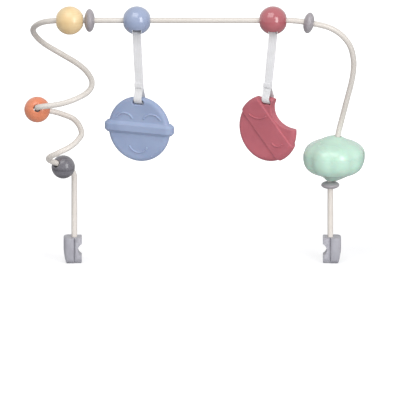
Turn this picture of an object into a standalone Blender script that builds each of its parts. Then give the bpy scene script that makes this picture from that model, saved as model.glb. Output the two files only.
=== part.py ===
"""High chair toy bar.

A coated steel wire stands in two clips, winds up through a bead coil, crosses above the seat and
comes down through a lobed bead. Two silicone toys hang from it on webbing straps.
+X runs from the left clip to the right clip, -Y faces the child, +Z is up. The origin lies half way
between the arm seats of the two clips. All sizes are in metres.
"""
import math

import bmesh
import bpy
from mathutils import Matrix, Vector
from mathutils.geometry import intersect_point_line

# Wire and its overall shape
WIRE_DIAMETER = 0.008
LEG_SPAN = 0.3584
BAR_HEIGHT = 0.3404
BAR_REACH = 0.055
COIL_RADIUS = 0.042
COIL_FALL = 0.238
COIL_OUTSET = 0.0158
BEND_START_INSET = 0.059
LEG_BEND_RADIUS = 0.014

# Clearances
FIT_GAP = 0.0003
RUN_GAP = 0.0006
CUT_OVERRUN = 0.004
WELD_DISTANCE = 0.00001

# Ball beads
BALL_DIAMETER = 0.040
BALL_LENGTH = 0.0374
ORANGE_DIAMETER = 0.0364
ORANGE_LENGTH = 0.0340
GREY_DIAMETER = 0.033
GREY_LENGTH = 0.0305
BEAD_BORE_DIAMETER = 0.0104
YELLOW_INSET = 0.028
BLUE_PLACE_SHARE = 0.5117
RED_PLACE_SHARE = 0.5525

# Bead directions on the coil
ORANGE_TURN_SHARE = 1.203
ORANGE_RADIUS_SHARE = 0.899
ORANGE_FALL_SHARE = 0.564
ORANGE_DIP = math.radians(19.0)
GREY_DIP = math.radians(26.0)
GREY_HEADING = math.radians(45.0)

# Stop discs
DISC_DIAMETER = 0.0325
DISC_THICKNESS = 0.0141
DISC_HUB_RADIUS = 0.0062
END_DISC_DIAMETER = 0.0295
LEG_DISC_DIAMETER = 0.0258
LEG_DISC_THICKNESS = 0.0105
LEFT_DISC_INSET = 0.0213
END_DISC_ALONG = 0.0295
LEG_DISC_HEIGHT = 0.0915

# Strap balls: the pocket that the strap loop turns in, and the pegs that join the halves
POCKET_RADIUS = 0.0125
SLOT_WIDTH = 0.0135
SLOT_HALF_ANGLE = math.radians(58.0)
PEG_DIAMETER = 0.004
PEG_LENGTH = 0.006
PEG_OFFSET = 0.0108

# Webbing straps
WEB_WIDTH = 0.012
WEB_THICKNESS = 0.0012
PLY_GAP = 0.0003
LAP_LENGTH = 0.0105
LAP_END_GAP = 0.0122

# Silicone toys
TOY_DIAMETER = 0.0925
TOY_THICKNESS = 0.012
TOY_RIM_ROUND = 0.006
TOY_EDGE_ROUND = 0.0015
TOY_DROP = 0.1555
RIM_BAR = 0.0045
TOY_SLOT_HEIGHT = 0.0064
TOY_SLOT_CORNER = 0.0017
BLUE_SLOT_LENGTH = 0.0205
RED_SLOT_LENGTH = 0.0145
RIDGE_RADIUS = 0.0010
BLUE_TOY_SHIFT = 0.0037
BLUE_YAW = math.radians(-23.0)
BELT_LENGTH = 0.104
BELT_DEPTH = 0.0205
BELT_HEIGHT = 0.0165
BELT_ROUND = 0.0045
BELT_RISE = 0.0015
RED_TOY_SHIFT = -0.0070
RED_YAW = math.radians(-32.0)
BAND_WIDTH = 0.032
BAND_OFFSET = 0.0022
BAND_RISE = 0.0015
BAND_TILT = math.radians(-47.8)
BITE_HALF_WIDTH = 0.034
BITE_HALF_HEIGHT = 0.027
BITE_CORNER = 0.0055
BITE_SLOT_WALL = 0.00075
BITE_BELOW_SLOT = 0.00435
BITE_X = RED_SLOT_LENGTH / 2 + BITE_SLOT_WALL + BITE_HALF_WIDTH
BITE_Z = TOY_DIAMETER / 2 - RIM_BAR - TOY_SLOT_HEIGHT - BITE_BELOW_SLOT

# Lobed bead
LOBED_WIDTH = 0.0880
LOBED_UPPER_HEIGHT = 0.0238
LOBED_LOWER_HEIGHT = 0.0294
UPPER_BOSS_HEIGHT = 0.0041
LOWER_BOSS_HEIGHT = 0.0067
LOBED_HEIGHT = LOBED_UPPER_HEIGHT + LOBED_LOWER_HEIGHT + UPPER_BOSS_HEIGHT + LOWER_BOSS_HEIGHT
LOBED_WALL = 0.0026
LOBED_TILT = math.radians(9.4)
LOBE_COUNT = 8
LOBE_DEPTH_SHARE = 0.055
UPPER_FULLNESS_SHARE = 0.93
LOWER_FULLNESS_SHARE = 0.77
LOBE_PHASE = math.radians(-95.0)
BELLY_RISE = LOBED_HEIGHT / 2 - LOBED_UPPER_HEIGHT - UPPER_BOSS_HEIGHT
BOSS_RADIUS = 0.0185
TUBE_WALL = 0.0022

# Clips
CLIP_OUTER_WIDTH = 0.0150
CLIP_INNER_WIDTH = 0.0105
CLIP_DEPTH = 0.027
CLIP_TOP = 0.0173
CLIP_BOTTOM = 0.0194
CLIP_ROUND = 0.0015
CLIP_CORNER = 0.0040
CLIP_TAPER = 0.0035
CLIP_UNDERCUT = 0.0065
SEAT_RADIUS = 0.010
SEAT_DEPTH = 0.0055
WIRE_SEAT_DEPTH = 0.0135
SCREW_DIAMETER = 0.0028
SCREW_HEAD_DIAMETER = 0.0056
SCREW_HEAD_DEPTH = 0.0022
SCREW_LENGTH = 0.0185
UPPER_SCREW_HEIGHT = 0.0128
LOWER_SCREW_HEIGHT = 0.0145

# Facets
TURN_STEPS = 24
TOY_STEPS = 48
SMALL_STEPS = 14
BEND_PER_RING = math.radians(13.0)

WIRE_RADIUS = WIRE_DIAMETER / 2
LEG_X = LEG_SPAN / 2
BORE_RADIUS = WIRE_RADIUS + RUN_GAP
LEFT_DISC_PLACE = LEFT_DISC_INSET - LEG_X
BLUE_PLACE = -LEG_X * BLUE_PLACE_SHARE
RED_PLACE = LEG_X * RED_PLACE_SHARE
BLUE_TOY_PLACE = BLUE_PLACE + BLUE_TOY_SHIFT
RED_TOY_PLACE = RED_PLACE + RED_TOY_SHIFT

# Coil knots: turns from the bar, then shares of COIL_RADIUS and of COIL_FALL
UPPER_COIL_SHARES = (
    (0.000, 1.000, 0.000), (0.089, 1.000, 0.012), (0.156, 1.000, 0.040), (0.250, 1.000, 0.096),
    (0.322, 1.000, 0.153), (0.397, 1.000, 0.216), (0.483, 1.000, 0.278), (0.583, 1.000, 0.339),
    (0.647, 1.000, 0.377), (0.728, 0.975, 0.418), (0.833, 0.962, 0.452), (0.931, 0.945, 0.482),
    (1.017, 0.933, 0.508),
)
LOWER_COIL_SHARES = (
    (1.374, 0.610, 0.605), (1.489, 0.501, 0.626), (1.645, 0.505, 0.655), (1.786, 0.633, 0.709),
    (1.882, 0.741, 0.740), (1.958, 0.888, 0.770), (2.027, 1.002, 0.801), (2.097, 0.841, 0.846),
)
# Right-hand arc knots: shares of LEG_X across, of BAR_REACH forward and of BAR_HEIGHT up
ARC_SHARES = (
    (0.763, 1.000, 0.996), (0.832, 1.000, 0.990), (0.920, 0.982, 0.980), (1.005, 0.955, 0.965),
    (1.087, 0.909, 0.935), (1.152, 0.836, 0.888), (1.181, 0.709, 0.826), (1.180, 0.582, 0.771),
    (1.162, 0.436, 0.711), (1.127, 0.245, 0.632), (1.093, 0.073, 0.555),
)
# Raised arcs on the toys: centre across, chord height, width and rise, as shares of the toy radius
BLUE_RIDGE_SHARES = (
    (-0.437, 0.338, 0.506, 0.143), (0.460, 0.356, 0.553, 0.143), (0.016, -0.545, 0.560, -0.164),
)
RED_RIDGE_SHARES = ((-0.268, 0.410, 0.592, -0.089), (0.424, -0.396, 0.348, -0.078))


def clear_scene():
    for old in list(bpy.data.objects):
        bpy.data.objects.remove(old)


def new_collection(name):
    collection = bpy.data.collections.new(name)
    bpy.context.scene.collection.children.link(collection)
    return collection


def material(name, colour, roughness, metallic=0.0):
    made = bpy.data.materials.new(name)
    made.use_nodes = True
    shader = made.node_tree.nodes["Principled BSDF"]
    shader.inputs["Base Color"].default_value = (*colour, 1.0)
    shader.inputs["Roughness"].default_value = roughness
    shader.inputs["Metallic"].default_value = metallic
    return made


def add_object(name, mesh, finish=None, place=None):
    """Link a mesh as a part when it has a finish, and as a cutter when it has none."""
    made = bpy.data.objects.new(name, mesh)
    if finish:
        PARTS.objects.link(made)
        made.data.materials.append(material(name, *finish))
        mesh.shade_smooth()
        mesh.set_sharp_from_angle(angle=math.radians(35.0))
    else:
        CUTTERS.objects.link(made)
        made.hide_render = True
        made.display_type = "WIRE"
    if place:
        made.matrix_world = place
    return made


def boolean(target, cutter, operation="DIFFERENCE"):
    step = target.modifiers.new(operation.title(), "BOOLEAN")
    step.object = cutter
    step.operation = operation


def mesh_from(name, bm):
    bmesh.ops.recalc_face_normals(bm, faces=bm.faces)
    mesh = bpy.data.meshes.new(name)
    bm.to_mesh(mesh)
    bm.free()
    return mesh


def settle(source, name):
    """Turn a curve object, or an object with modifiers, into a closed mesh and remove it."""
    bpy.context.view_layer.update()
    graph = bpy.context.evaluated_depsgraph_get()
    mesh = bpy.data.meshes.new_from_object(source.evaluated_get(graph))
    bpy.data.objects.remove(source)
    bm = bmesh.new()
    bm.from_mesh(mesh)
    bmesh.ops.remove_doubles(bm, verts=bm.verts, dist=WELD_DISTANCE)
    return mesh_from(name, bm)


def tube_mesh(name, points, radius, resolution):
    curve = bpy.data.curves.new(name, "CURVE")
    curve.dimensions = "3D"
    curve.bevel_depth = radius
    curve.bevel_resolution = resolution
    curve.use_fill_caps = True
    line = curve.splines.new("POLY")
    line.points.add(len(points) - 1)
    for knot, point in zip(line.points, points):
        knot.co = (*point, 1.0)
    source = bpy.data.objects.new(name, curve)
    CUTTERS.objects.link(source)
    return settle(source, name)


def slab_mesh(name, outlines, thickness, rounding=0.0, resolution=1):
    """A flat outline, given thickness along its own Z, with its edges rounded."""
    curve = bpy.data.curves.new(name, "CURVE")
    curve.dimensions = "2D"
    curve.fill_mode = "BOTH"
    curve.extrude = thickness / 2 - rounding
    curve.bevel_depth = rounding
    curve.bevel_resolution = resolution
    curve.offset = -rounding
    for outline in outlines:
        line = curve.splines.new("POLY")
        line.points.add(len(outline) - 1)
        for knot, (across, up) in zip(line.points, outline):
            knot.co = (across, up, 0.0, 1.0)
        line.use_cyclic_u = True
    source = bpy.data.objects.new(name, curve)
    CUTTERS.objects.link(source)
    return settle(source, name)


def turned_mesh(name, profile, steps, closed):
    """Turn a (radius, height) profile that runs down its outer side about Z."""
    bm = bmesh.new()
    ring = [bm.verts.new((radius, 0, height)) for radius, height in profile]
    for start, end in zip(ring, ring[1:]):
        bm.edges.new((start, end))
    if closed:
        bm.edges.new((ring[-1], ring[0]))
    mesh = bpy.data.meshes.new(name)
    bm.to_mesh(mesh)
    bm.free()
    source = bpy.data.objects.new(name, mesh)
    CUTTERS.objects.link(source)
    turn = source.modifiers.new("Turn", "SCREW")
    turn.angle = math.tau
    turn.steps = steps
    turn.render_steps = steps
    turn.use_merge_vertices = True
    turn.merge_threshold = WELD_DISTANCE
    return settle(source, name)


def cylinder(name, radius, length, place, steps=SMALL_STEPS):
    bm = bmesh.new()
    bmesh.ops.create_cone(bm, cap_ends=True, segments=steps, radius1=radius, radius2=radius,
                          depth=length)
    return add_object(name, mesh_from(name, bm), place=place)


def box(name, low, high):
    """A cutter between two corners."""
    bm = bmesh.new()
    bmesh.ops.create_cube(bm, size=1.0)
    middle = (Vector(low) + Vector(high)) / 2
    bmesh.ops.scale(bm, vec=Vector(high) - Vector(low), verts=bm.verts)
    bmesh.ops.translate(bm, vec=middle, verts=bm.verts)
    return add_object(name, mesh_from(name, bm))


def arc(centre, radius, start, end, count):
    """Points on a circle from one angle to another, both included."""
    angles = [start + (end - start) * step / count for step in range(count + 1)]
    return [(centre[0] + radius * math.cos(a), centre[1] + radius * math.sin(a)) for a in angles]


def rounded_box(width, height, corner):
    """Outline of a rectangle about zero, with round corners."""
    across, up = width / 2 - corner, height / 2 - corner
    spots = ((across, up), (-across, up), (-across, -up), (across, -up))
    turn = math.pi / 2
    return [point for quarter, spot in enumerate(spots)
            for point in arc(spot, corner, quarter * turn, (quarter + 1) * turn, 3)]


def frame_at(place, direction):
    """A matrix at a place whose Z axis runs along a direction."""
    turn = Vector(direction).to_track_quat("Z", "Y").to_matrix().to_4x4()
    return Matrix.Translation(place) @ turn


def upright(place, yaw=0.0):
    """A matrix that stands a flat outline up, facing -Y, turned about the vertical by yaw."""
    return Matrix.Translation(place) @ Matrix.Rotation(yaw, 4, "Z") @ Matrix.Rotation(
        math.pi / 2, 4, "X")


def coil_point(turns, radius_share, fall_share):
    """A point about the coil's upright axis, from the bar at its front, going round by the left."""
    angle = turns * math.tau
    radius = COIL_RADIUS * radius_share
    centre = Vector((-LEG_X - COIL_OUTSET, COIL_RADIUS - BAR_REACH, BAR_HEIGHT))
    return centre + Vector((-radius * math.sin(angle), -radius * math.cos(angle),
                            -COIL_FALL * fall_share))


def straight(centre, direction, half_length):
    """Two knots that keep the wire straight through a bead."""
    reach = direction * half_length
    return [(centre - reach, direction), (centre + reach, direction)]


def orange_seat():
    centre = coil_point(ORANGE_TURN_SHARE, ORANGE_RADIUS_SHARE, ORANGE_FALL_SHARE)
    return centre, Vector((0, math.cos(ORANGE_DIP), -math.sin(ORANGE_DIP)))


def grey_seat():
    """The grey ball sits on the straight run that ends in the bend into the left leg."""
    flat = Vector((math.cos(GREY_HEADING), math.sin(GREY_HEADING), 0))
    direction = flat * math.cos(GREY_DIP) - Vector((0, 0, math.sin(GREY_DIP)))
    bend_run = LEG_BEND_RADIUS * (1 - math.sin(GREY_DIP))
    bend_fall = LEG_BEND_RADIUS * math.cos(GREY_DIP)
    leg_top = Vector((-LEG_X, 0, BAR_HEIGHT - COIL_FALL))
    run_end = leg_top - flat * bend_run + Vector((0, 0, bend_fall))
    return run_end - direction * (GREY_LENGTH / 2), direction, leg_top


def lobed_seat():
    """The lobed bead stands on the leg disc; its axis meets the leg at the bead's foot."""
    direction = Vector((math.sin(LOBED_TILT), 0, math.cos(LOBED_TILT)))
    end_radius = BORE_RADIUS + FIT_GAP + TUBE_WALL
    foot_lift = LEG_DISC_THICKNESS / 2 + FIT_GAP + end_radius * math.sin(LOBED_TILT)
    foot = Vector((LEG_X, 0, LEG_DISC_HEIGHT + foot_lift))
    return foot + direction * (LOBED_HEIGHT / 2), direction, foot


def wire_path():
    """Points down the whole wire, from the left clip to the right clip."""
    low_end = CLIP_TOP - WIRE_SEAT_DEPTH
    down = Vector((0, 0, -1))
    across = Vector((1, 0, 0))
    grey_centre, grey_way, leg_top = grey_seat()
    orange_centre, orange_way = orange_seat()
    lobed_centre, lobed_way, foot = lobed_seat()
    bar_y = -BAR_REACH

    knots = [(Vector((-LEG_X, 0, low_end)), -down), (leg_top, -down)]
    knots += [(place, -way) for place, way in reversed(straight(grey_centre, grey_way, GREY_LENGTH / 2))]
    knots += [(coil_point(*shares), None) for shares in reversed(LOWER_COIL_SHARES)]
    knots += [(place, -way) for place, way in
              reversed(straight(orange_centre, orange_way, ORANGE_LENGTH / 2))]
    knots += [(coil_point(*shares), None) for shares in reversed(UPPER_COIL_SHARES[1:])]
    knots.append((coil_point(*UPPER_COIL_SHARES[0]), across))
    knots.append((Vector((LEG_X - BEND_START_INSET, bar_y, BAR_HEIGHT)), across))
    knots += [(Vector((LEG_X * x, bar_y * y, BAR_HEIGHT * z)), None) for x, y, z in ARC_SHARES]
    knots.append((lobed_centre + lobed_way * LOBED_HEIGHT / 2, -lobed_way))
    knots.append((foot + lobed_way * WIRE_RADIUS, -lobed_way))
    knots.append((foot - Vector((0, 0, FIT_GAP)), down))
    knots.append((Vector((LEG_X, 0, low_end)), down))
    return smooth(knots)


def smooth(knots):
    """Points along a curve through knots; each knot may state the way the curve passes it."""
    places = [place for place, _ in knots]
    ways = []
    for index, (place, way) in enumerate(knots):
        ways.append(way or (places[index + 1] - places[index - 1]).normalized())
    points = [places[0]]
    for index in range(len(knots) - 1):
        start, end = places[index], places[index + 1]
        chord = end - start
        turning = ways[index].angle(chord) + chord.angle(ways[index + 1])
        steps = max(1, math.ceil(turning / BEND_PER_RING))
        leave = ways[index] * chord.length
        arrive = ways[index + 1] * chord.length
        for step in range(1, steps + 1):
            t = step / steps
            points.append(
                start * (2 * t**3 - 3 * t**2 + 1) + leave * (t**3 - 2 * t**2 + t)
                + end * (3 * t**2 - 2 * t**3) + arrive * (t**3 - t**2))
    return points


def on_wire(place):
    """The point of the wire's middle line nearest to a place."""
    feet = []
    for start, end in zip(WIRE_PATH, WIRE_PATH[1:]):
        foot, share = intersect_point_line(place, start, end)
        feet.append(start.lerp(end, min(max(share, 0), 1)))
    return min(feet, key=lambda foot: (foot - place).length)


def print_coil_gap():
    """The least gap between the coil's turns, between points at least half a turn apart."""
    ends = BAR_HEIGHT - COIL_FALL, -LEG_X + COIL_OUTSET
    coil = [point for point in WIRE_PATH if point.z > ends[0] and point.x < ends[1]]
    runs = [0.0]
    for start, end in zip(coil, coil[1:]):
        runs.append(runs[-1] + (end - start).length)
    apart = math.pi * COIL_RADIUS / 2
    least = min((coil[i] - coil[j]).length for i in range(len(coil)) for j in range(i)
                if runs[i] - runs[j] > apart)
    print(f"Coil: least gap to itself {(least - WIRE_DIAMETER) * 1000:.1f} mm")


def seat_on_bar(across, length):
    """Middle and way of a piece threaded on the bar, so that the wire passes both its ends."""
    left, right = (on_wire(Vector((across + side * length / 2, -BAR_REACH, BAR_HEIGHT)))
                   for side in (-1, 1))
    return (left + right) / 2, right - left


def bar_wire():
    """The coated steel wire, with a cross hole near each end for the clip screw."""
    mesh = tube_mesh("bar_wire", WIRE_PATH, WIRE_RADIUS, 2)
    wire = add_object("bar_wire", mesh, COATING)
    for side in (-1, 1):
        place = frame_at((side * LEG_X, 0, UPPER_SCREW_HEIGHT), (1, 0, 0))
        boolean(wire, cylinder("wire_hole_cutter", SCREW_DIAMETER / 2 + FIT_GAP,
                               WIRE_DIAMETER + CUT_OVERRUN, place))


def bead_profile(diameter, length, bore, count):
    """Outline of a ball bead with flat ends round its bore."""
    radius = diameter / 2
    flat = math.acos(length / 2 / radius)
    outer = arc((0, 0), radius, math.pi / 2 - flat, flat - math.pi / 2, count)
    return outer + [(bore, -length / 2), (bore, length / 2)]


def disc_profile(diameter, thickness, bore, count):
    """Outline of a domed stop disc with a flat hub."""
    angles = [math.pi / 2 - math.pi * step / count for step in range(count + 1)]
    reach = diameter / 2 - DISC_HUB_RADIUS
    outer = [(DISC_HUB_RADIUS + reach * math.cos(a), thickness / 2 * math.sin(a)) for a in angles]
    return outer + [(bore, -thickness / 2), (bore, thickness / 2)]


def threaded(name, profile, place, direction, finish, steps=TURN_STEPS):
    mesh = turned_mesh(name, profile, steps, True)
    return add_object(name, mesh, finish, frame_at(place, direction))


def hung_bead(name, diameter, length, centre, way, finish):
    """A ball bead whose bore is wide enough for the coil, so it hangs with its bore on the wire."""
    way = way.normalized()
    reach = length / 2
    spots = [centre + way * reach * share / 4 for share in range(-4, 5)]
    sag = max((on_wire(spot) - spot).length for spot in spots)
    down = Vector((0, 0, -1))
    drop = BEAD_BORE_DIAMETER / 2 - WIRE_RADIUS - FIT_GAP - sag
    place = centre + (down - way * down.dot(way)).normalized() * max(drop, 0)
    threaded(name, bead_profile(diameter, length, BEAD_BORE_DIAMETER / 2, 10), place, way, finish)


def beads():
    """The three plain beads of the coil."""
    centre, way = seat_on_bar(LEFT_DISC_PLACE - YELLOW_INSET, BALL_LENGTH)
    hung_bead("yellow_ball", BALL_DIAMETER, BALL_LENGTH, centre, way, YELLOW)
    centre, way = orange_seat()
    hung_bead("orange_bead", ORANGE_DIAMETER, ORANGE_LENGTH, centre, way, ORANGE)
    centre, way, _ = grey_seat()
    hung_bead("grey_ball", GREY_DIAMETER, GREY_LENGTH, centre, way, GREY)


def stop_discs():
    """Domed discs fixed on the wire."""
    bore = WIRE_RADIUS + FIT_GAP
    left = (LEFT_DISC_PLACE, -BAR_REACH, BAR_HEIGHT)
    threaded("stop_disc_left", disc_profile(DISC_DIAMETER, DISC_THICKNESS, bore, 6), left, (1, 0, 0),
             DISC)
    place, way = seat_on_bar(LEG_X - BEND_START_INSET + END_DISC_ALONG, DISC_THICKNESS)
    threaded("stop_disc_right", disc_profile(END_DISC_DIAMETER, DISC_THICKNESS, BORE_RADIUS, 6),
             place, way, DISC)
    threaded("stop_disc_leg", disc_profile(LEG_DISC_DIAMETER, LEG_DISC_THICKNESS, bore, 6),
             (LEG_X, 0, LEG_DISC_HEIGHT), (0, 0, 1), DISC)


def strap_ball(colour, place, finish):
    """Two half balls, pegged together round the wire and the strap loop."""
    centre = Vector((place, -BAR_REACH, BAR_HEIGHT))
    lie = frame_at(centre, (1, 0, 0))
    down = -math.pi / 2
    far = BALL_DIAMETER / 2 + CUT_OVERRUN
    slot = arc((0, 0), far, down - SLOT_HALF_ANGLE, down + SLOT_HALF_ANGLE, 8)
    slot += arc((0, 0), POCKET_RADIUS, down + SLOT_HALF_ANGLE, down + math.tau - SLOT_HALF_ANGLE, 16)
    stand = Matrix.Translation(centre) @ Matrix.Rotation(math.pi / 2, 4, "Z") @ Matrix.Rotation(
        math.pi / 2, 4, "X")
    pocket = add_object(f"{colour}_pocket_cutter", slab_mesh("pocket", [slot], SLOT_WIDTH), place=stand)
    profile = bead_profile(BALL_DIAMETER, BALL_LENGTH, BORE_RADIUS, 10)
    for half, side in (("front", -1), ("rear", 1)):
        name = f"{colour}_ball_{half}"
        shell = add_object(name, turned_mesh(name, profile, TURN_STEPS, True), finish, lie)
        split = FIT_GAP / 2
        low = centre + Vector((-far, split if side > 0 else -far, -far))
        high = centre + Vector((far, far if side > 0 else -split, far))
        boolean(shell, box(f"{name}_cutter", low, high), "INTERSECT")
        boolean(shell, pocket)
        for turn in (-1, 1):
            spot = centre + Vector((turn * PEG_OFFSET, 0, turn * PEG_OFFSET))
            if side > 0:
                peg = cylinder(f"{name}_peg_{turn}", PEG_DIAMETER / 2, PEG_LENGTH,
                               frame_at(spot, (0, 1, 0)))
                boolean(shell, peg, "UNION")
            else:
                hole = cylinder(f"{name}_hole_{turn}", PEG_DIAMETER / 2 + FIT_GAP,
                                PEG_LENGTH + 2 * FIT_GAP, frame_at(spot, (0, 1, 0)))
                boolean(shell, hole)


def ribbon_outline(path):
    """Outline of webbing seen edge on: its middle line, half a thickness to either side."""
    left, right = [], []
    for index, point in enumerate(path):
        before = Vector(path[max(index - 1, 0)])
        after = Vector(path[min(index + 1, len(path) - 1)])
        way = (after - before).normalized()
        side = Vector((-way.y, way.x)) * WEB_THICKNESS / 2
        left.append(tuple(Vector(point) + side))
        right.append(tuple(Vector(point) - side))
    return left + right[::-1]


def strap_path():
    """Middle line of the webbing, edge on, with the wire's centre at the origin."""
    pitch = WEB_THICKNESS + PLY_GAP
    hinge = -(TOY_DROP - TOY_DIAMETER / 2 + RIM_BAR / 2)
    lap_low = hinge + RIM_BAR / 2 + LAP_END_GAP
    lap_high = lap_low + LAP_LENGTH
    corner = math.hypot(TOY_THICKNESS / 2 - TOY_EDGE_ROUND, RIM_BAR / 2 - TOY_EDGE_ROUND)
    turn = corner + TOY_EDGE_ROUND + FIT_GAP + WEB_THICKNESS / 2
    loop = WIRE_RADIUS + RUN_GAP + WEB_THICKNESS / 2
    merge = -POCKET_RADIUS

    front, back = Vector((-1.5 * pitch, lap_low)), Vector((pitch / 2, lap_low))
    pin = Vector((0, hinge))
    start, stop = (math.atan2(ply.y - hinge, ply.x) + side * math.acos(turn / (ply - pin).length)
                   for ply, side in ((front, 1), (back, -1)))
    path = [(front.x, lap_high), (front.x, lap_low)]
    path += arc((0, hinge), turn, start, stop + math.tau, 12)
    path += [(back.x, back.y)]
    rows = 8
    path += [(back.x, lap_low + (merge - lap_low) * row / rows) for row in range(1, rows + 1)]
    path += arc((0, 0), loop, -math.pi / 6, math.pi * 7 / 6, 12)
    path += [(-pitch / 2, merge + (lap_low - merge) * row / rows) for row in range(rows + 1)]
    return path


def strap(colour, ball_place, toy_place, yaw, finish):
    """Webbing looped round the wire and through the toy, and sewn over itself between them."""
    name = f"{colour}_strap"
    mesh = slab_mesh(name, [ribbon_outline(strap_path())], WEB_WIDTH)
    stand = Matrix.Rotation(math.pi / 2, 4, "Z") @ Matrix.Rotation(math.pi / 2, 4, "X")
    mesh.transform(stand)
    hinge = TOY_DROP - TOY_DIAMETER / 2 + RIM_BAR / 2
    start = POCKET_RADIUS + BALL_DIAMETER / 4
    for vert in mesh.vertices:
        share = min(max((-vert.co.z - start) / (hinge - RIM_BAR - LAP_END_GAP - start), 0), 1)
        ease = share * share * (3 - 2 * share)
        vert.co = Matrix.Rotation(yaw * ease, 3, "Z") @ vert.co
        vert.co.x += (toy_place - ball_place) * share
    return add_object(name, mesh, finish, Matrix.Translation((ball_place, -BAR_REACH, BAR_HEIGHT)))


def bite_edge(angle):
    return Vector((BITE_X + BITE_HALF_WIDTH * math.cos(angle), BITE_Z + BITE_HALF_HEIGHT * math.sin(angle)))


def bite_end(inside, outside):
    """The angle on the bite's oval where it leaves the disc, between one inside and one outside."""
    for _ in range(30):
        middle = (inside + outside) / 2
        if bite_edge(middle).length < TOY_DIAMETER / 2:
            inside = middle
        else:
            outside = middle
    return inside


def corner_points(before, corner, after):
    """A rounded corner between two edges that meet in a point."""
    return [before.lerp(corner, t / 6).lerp(corner.lerp(after, t / 6), t / 6) for t in range(7)]


def toy_outline(bite):
    """Outline that the round rim is cut from; a bite out of it has rounded corners."""
    radius = TOY_DIAMETER / 2 + RUN_GAP
    if not bite:
        return arc((0, 0), radius, 0, math.tau, TOY_STEPS)[:-1]
    low = bite_end(1.5 * math.pi, math.tau)
    high = bite_end(math.pi, math.pi / 2)
    corner_low, corner_high = bite_edge(low), bite_edge(high)
    turn = BITE_CORNER / radius
    start = math.atan2(corner_high.y, corner_high.x) + turn
    stop = math.atan2(corner_low.y, corner_low.x) - turn + math.tau
    rim = [Vector(point) for point in arc((0, 0), radius, start, stop, TOY_STEPS * 3 // 4)]
    step = BITE_CORNER / BITE_HALF_WIDTH
    reach = [low - step + (high - low + 2 * step) * share / 16 for share in range(17)]
    bitten = [bite_edge(angle) for angle in reach]
    outline = rim + corner_points(rim[-1], corner_low, bitten[0])[1:-1] + bitten
    return outline + corner_points(bitten[-1], corner_high, rim[0])[1:-1]


def rim_profile(rim, cap):
    """Outline of a disc with a full round rim, half its section."""
    count = 6
    angles = [math.pi / 2 - math.pi * step / count for step in range(count + 1)]
    edge = [(rim - TOY_RIM_ROUND * (1 - math.cos(a)), cap * math.sin(a)) for a in angles]
    return [(0, cap)] + edge + [(0, -cap)]


def toy_body(name, hinge, yaw, bite, slot_length, finish):
    """A flat silicone disc with a round rim and a slot for the strap."""
    drop = (TOY_DIAMETER - RIM_BAR) / 2
    outline = [(x, z - drop) for x, z in toy_outline(bite)]
    slot = rounded_box(slot_length, TOY_SLOT_HEIGHT, TOY_SLOT_CORNER)
    slot = [(x, z - (RIM_BAR + TOY_SLOT_HEIGHT) / 2) for x, z in slot]
    toy = add_object(name, slab_mesh(name, [outline, slot], TOY_THICKNESS, TOY_EDGE_ROUND, 1), finish,
                     upright(hinge, yaw))
    rim = TOY_DIAMETER / 2
    cap = TOY_THICKNESS / 2 + TOY_EDGE_ROUND
    blank = turned_mesh(f"{name}_blank", rim_profile(rim, cap), TOY_STEPS, False)
    centre = upright(hinge, yaw) @ Matrix.Translation((0, -drop, 0))
    boolean(toy, add_object(f"{name}_rim_cutter", blank, place=centre), "INTERSECT")
    return toy, centre


def ridges(toy, centre, shares, face):
    """Raised arcs on the front face."""
    radius = TOY_DIAMETER / 2
    for number, (across, up, width, rise) in enumerate(shares):
        half = width * radius / 2
        high = rise * radius
        sweep = 2 * math.atan2(2 * half * high, half**2 - high**2) / 2
        bend = half / math.sin(sweep)
        middle = (across * radius, up * radius + high - bend)
        line = arc(middle, bend, math.pi / 2 + sweep, math.pi / 2 - sweep, 8)
        points = [(x, z, face - RIDGE_RADIUS / 3) for x, z in line]
        mesh = tube_mesh(f"{toy.name}_ridge_{number}", points, RIDGE_RADIUS, 1)
        boolean(toy, add_object(f"{toy.name}_ridge_{number}_cutter", mesh, place=centre), "UNION")


def hinge_point(toy_place):
    return Vector((toy_place, -BAR_REACH, BAR_HEIGHT - TOY_DROP + (TOY_DIAMETER - RIM_BAR) / 2))


def blue_toy(finish):
    """Round toy with a raised belt right round it."""
    toy, centre = toy_body("blue_toy", hinge_point(BLUE_TOY_PLACE), BLUE_YAW, False,
                           BLUE_SLOT_LENGTH, finish)
    end = BELT_DEPTH / 2
    run = BELT_LENGTH / 2 - end
    outline = arc((run, 0), end, -math.pi / 2, math.pi / 2, 8)
    outline += arc((-run, 0), end, math.pi / 2, math.pi * 3 / 2, 8)
    belt = slab_mesh("belt", [outline], BELT_HEIGHT, BELT_ROUND, 2)
    lie = centre @ Matrix.Translation((0, BELT_RISE, 0)) @ Matrix.Rotation(math.pi / 2, 4, "X")
    boolean(toy, add_object("belt_cutter", belt, place=lie), "UNION")
    ridges(toy, centre, BLUE_RIDGE_SHARES, TOY_THICKNESS / 2)


def red_toy(finish):
    """Round toy with a bite out of its rim and a raised band across it."""
    toy, centre = toy_body("red_toy", hinge_point(RED_TOY_PLACE), RED_YAW, True, RED_SLOT_LENGTH,
                           finish)
    rim = TOY_DIAMETER / 2 + BAND_RISE
    cap = TOY_THICKNESS / 2 + BAND_RISE
    band = add_object("band_cutter", turned_mesh("band", rim_profile(rim, cap), TOY_STEPS, False),
                      place=centre)
    bm = bmesh.new()
    bmesh.ops.create_cube(bm, size=1.0)
    reach = 2 * TOY_DIAMETER
    bmesh.ops.scale(bm, vec=(reach, BAND_WIDTH, reach), verts=bm.verts)
    bmesh.ops.translate(bm, vec=(0, BAND_OFFSET, 0), verts=bm.verts)
    turn = centre @ Matrix.Rotation(BAND_TILT, 4, "Z")
    strip = add_object("strip_cutter", mesh_from("strip", bm), place=turn)
    boolean(band, strip, "INTERSECT")
    boolean(toy, band, "UNION")
    ridges(toy, centre, RED_RIDGE_SHARES, cap)


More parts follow.
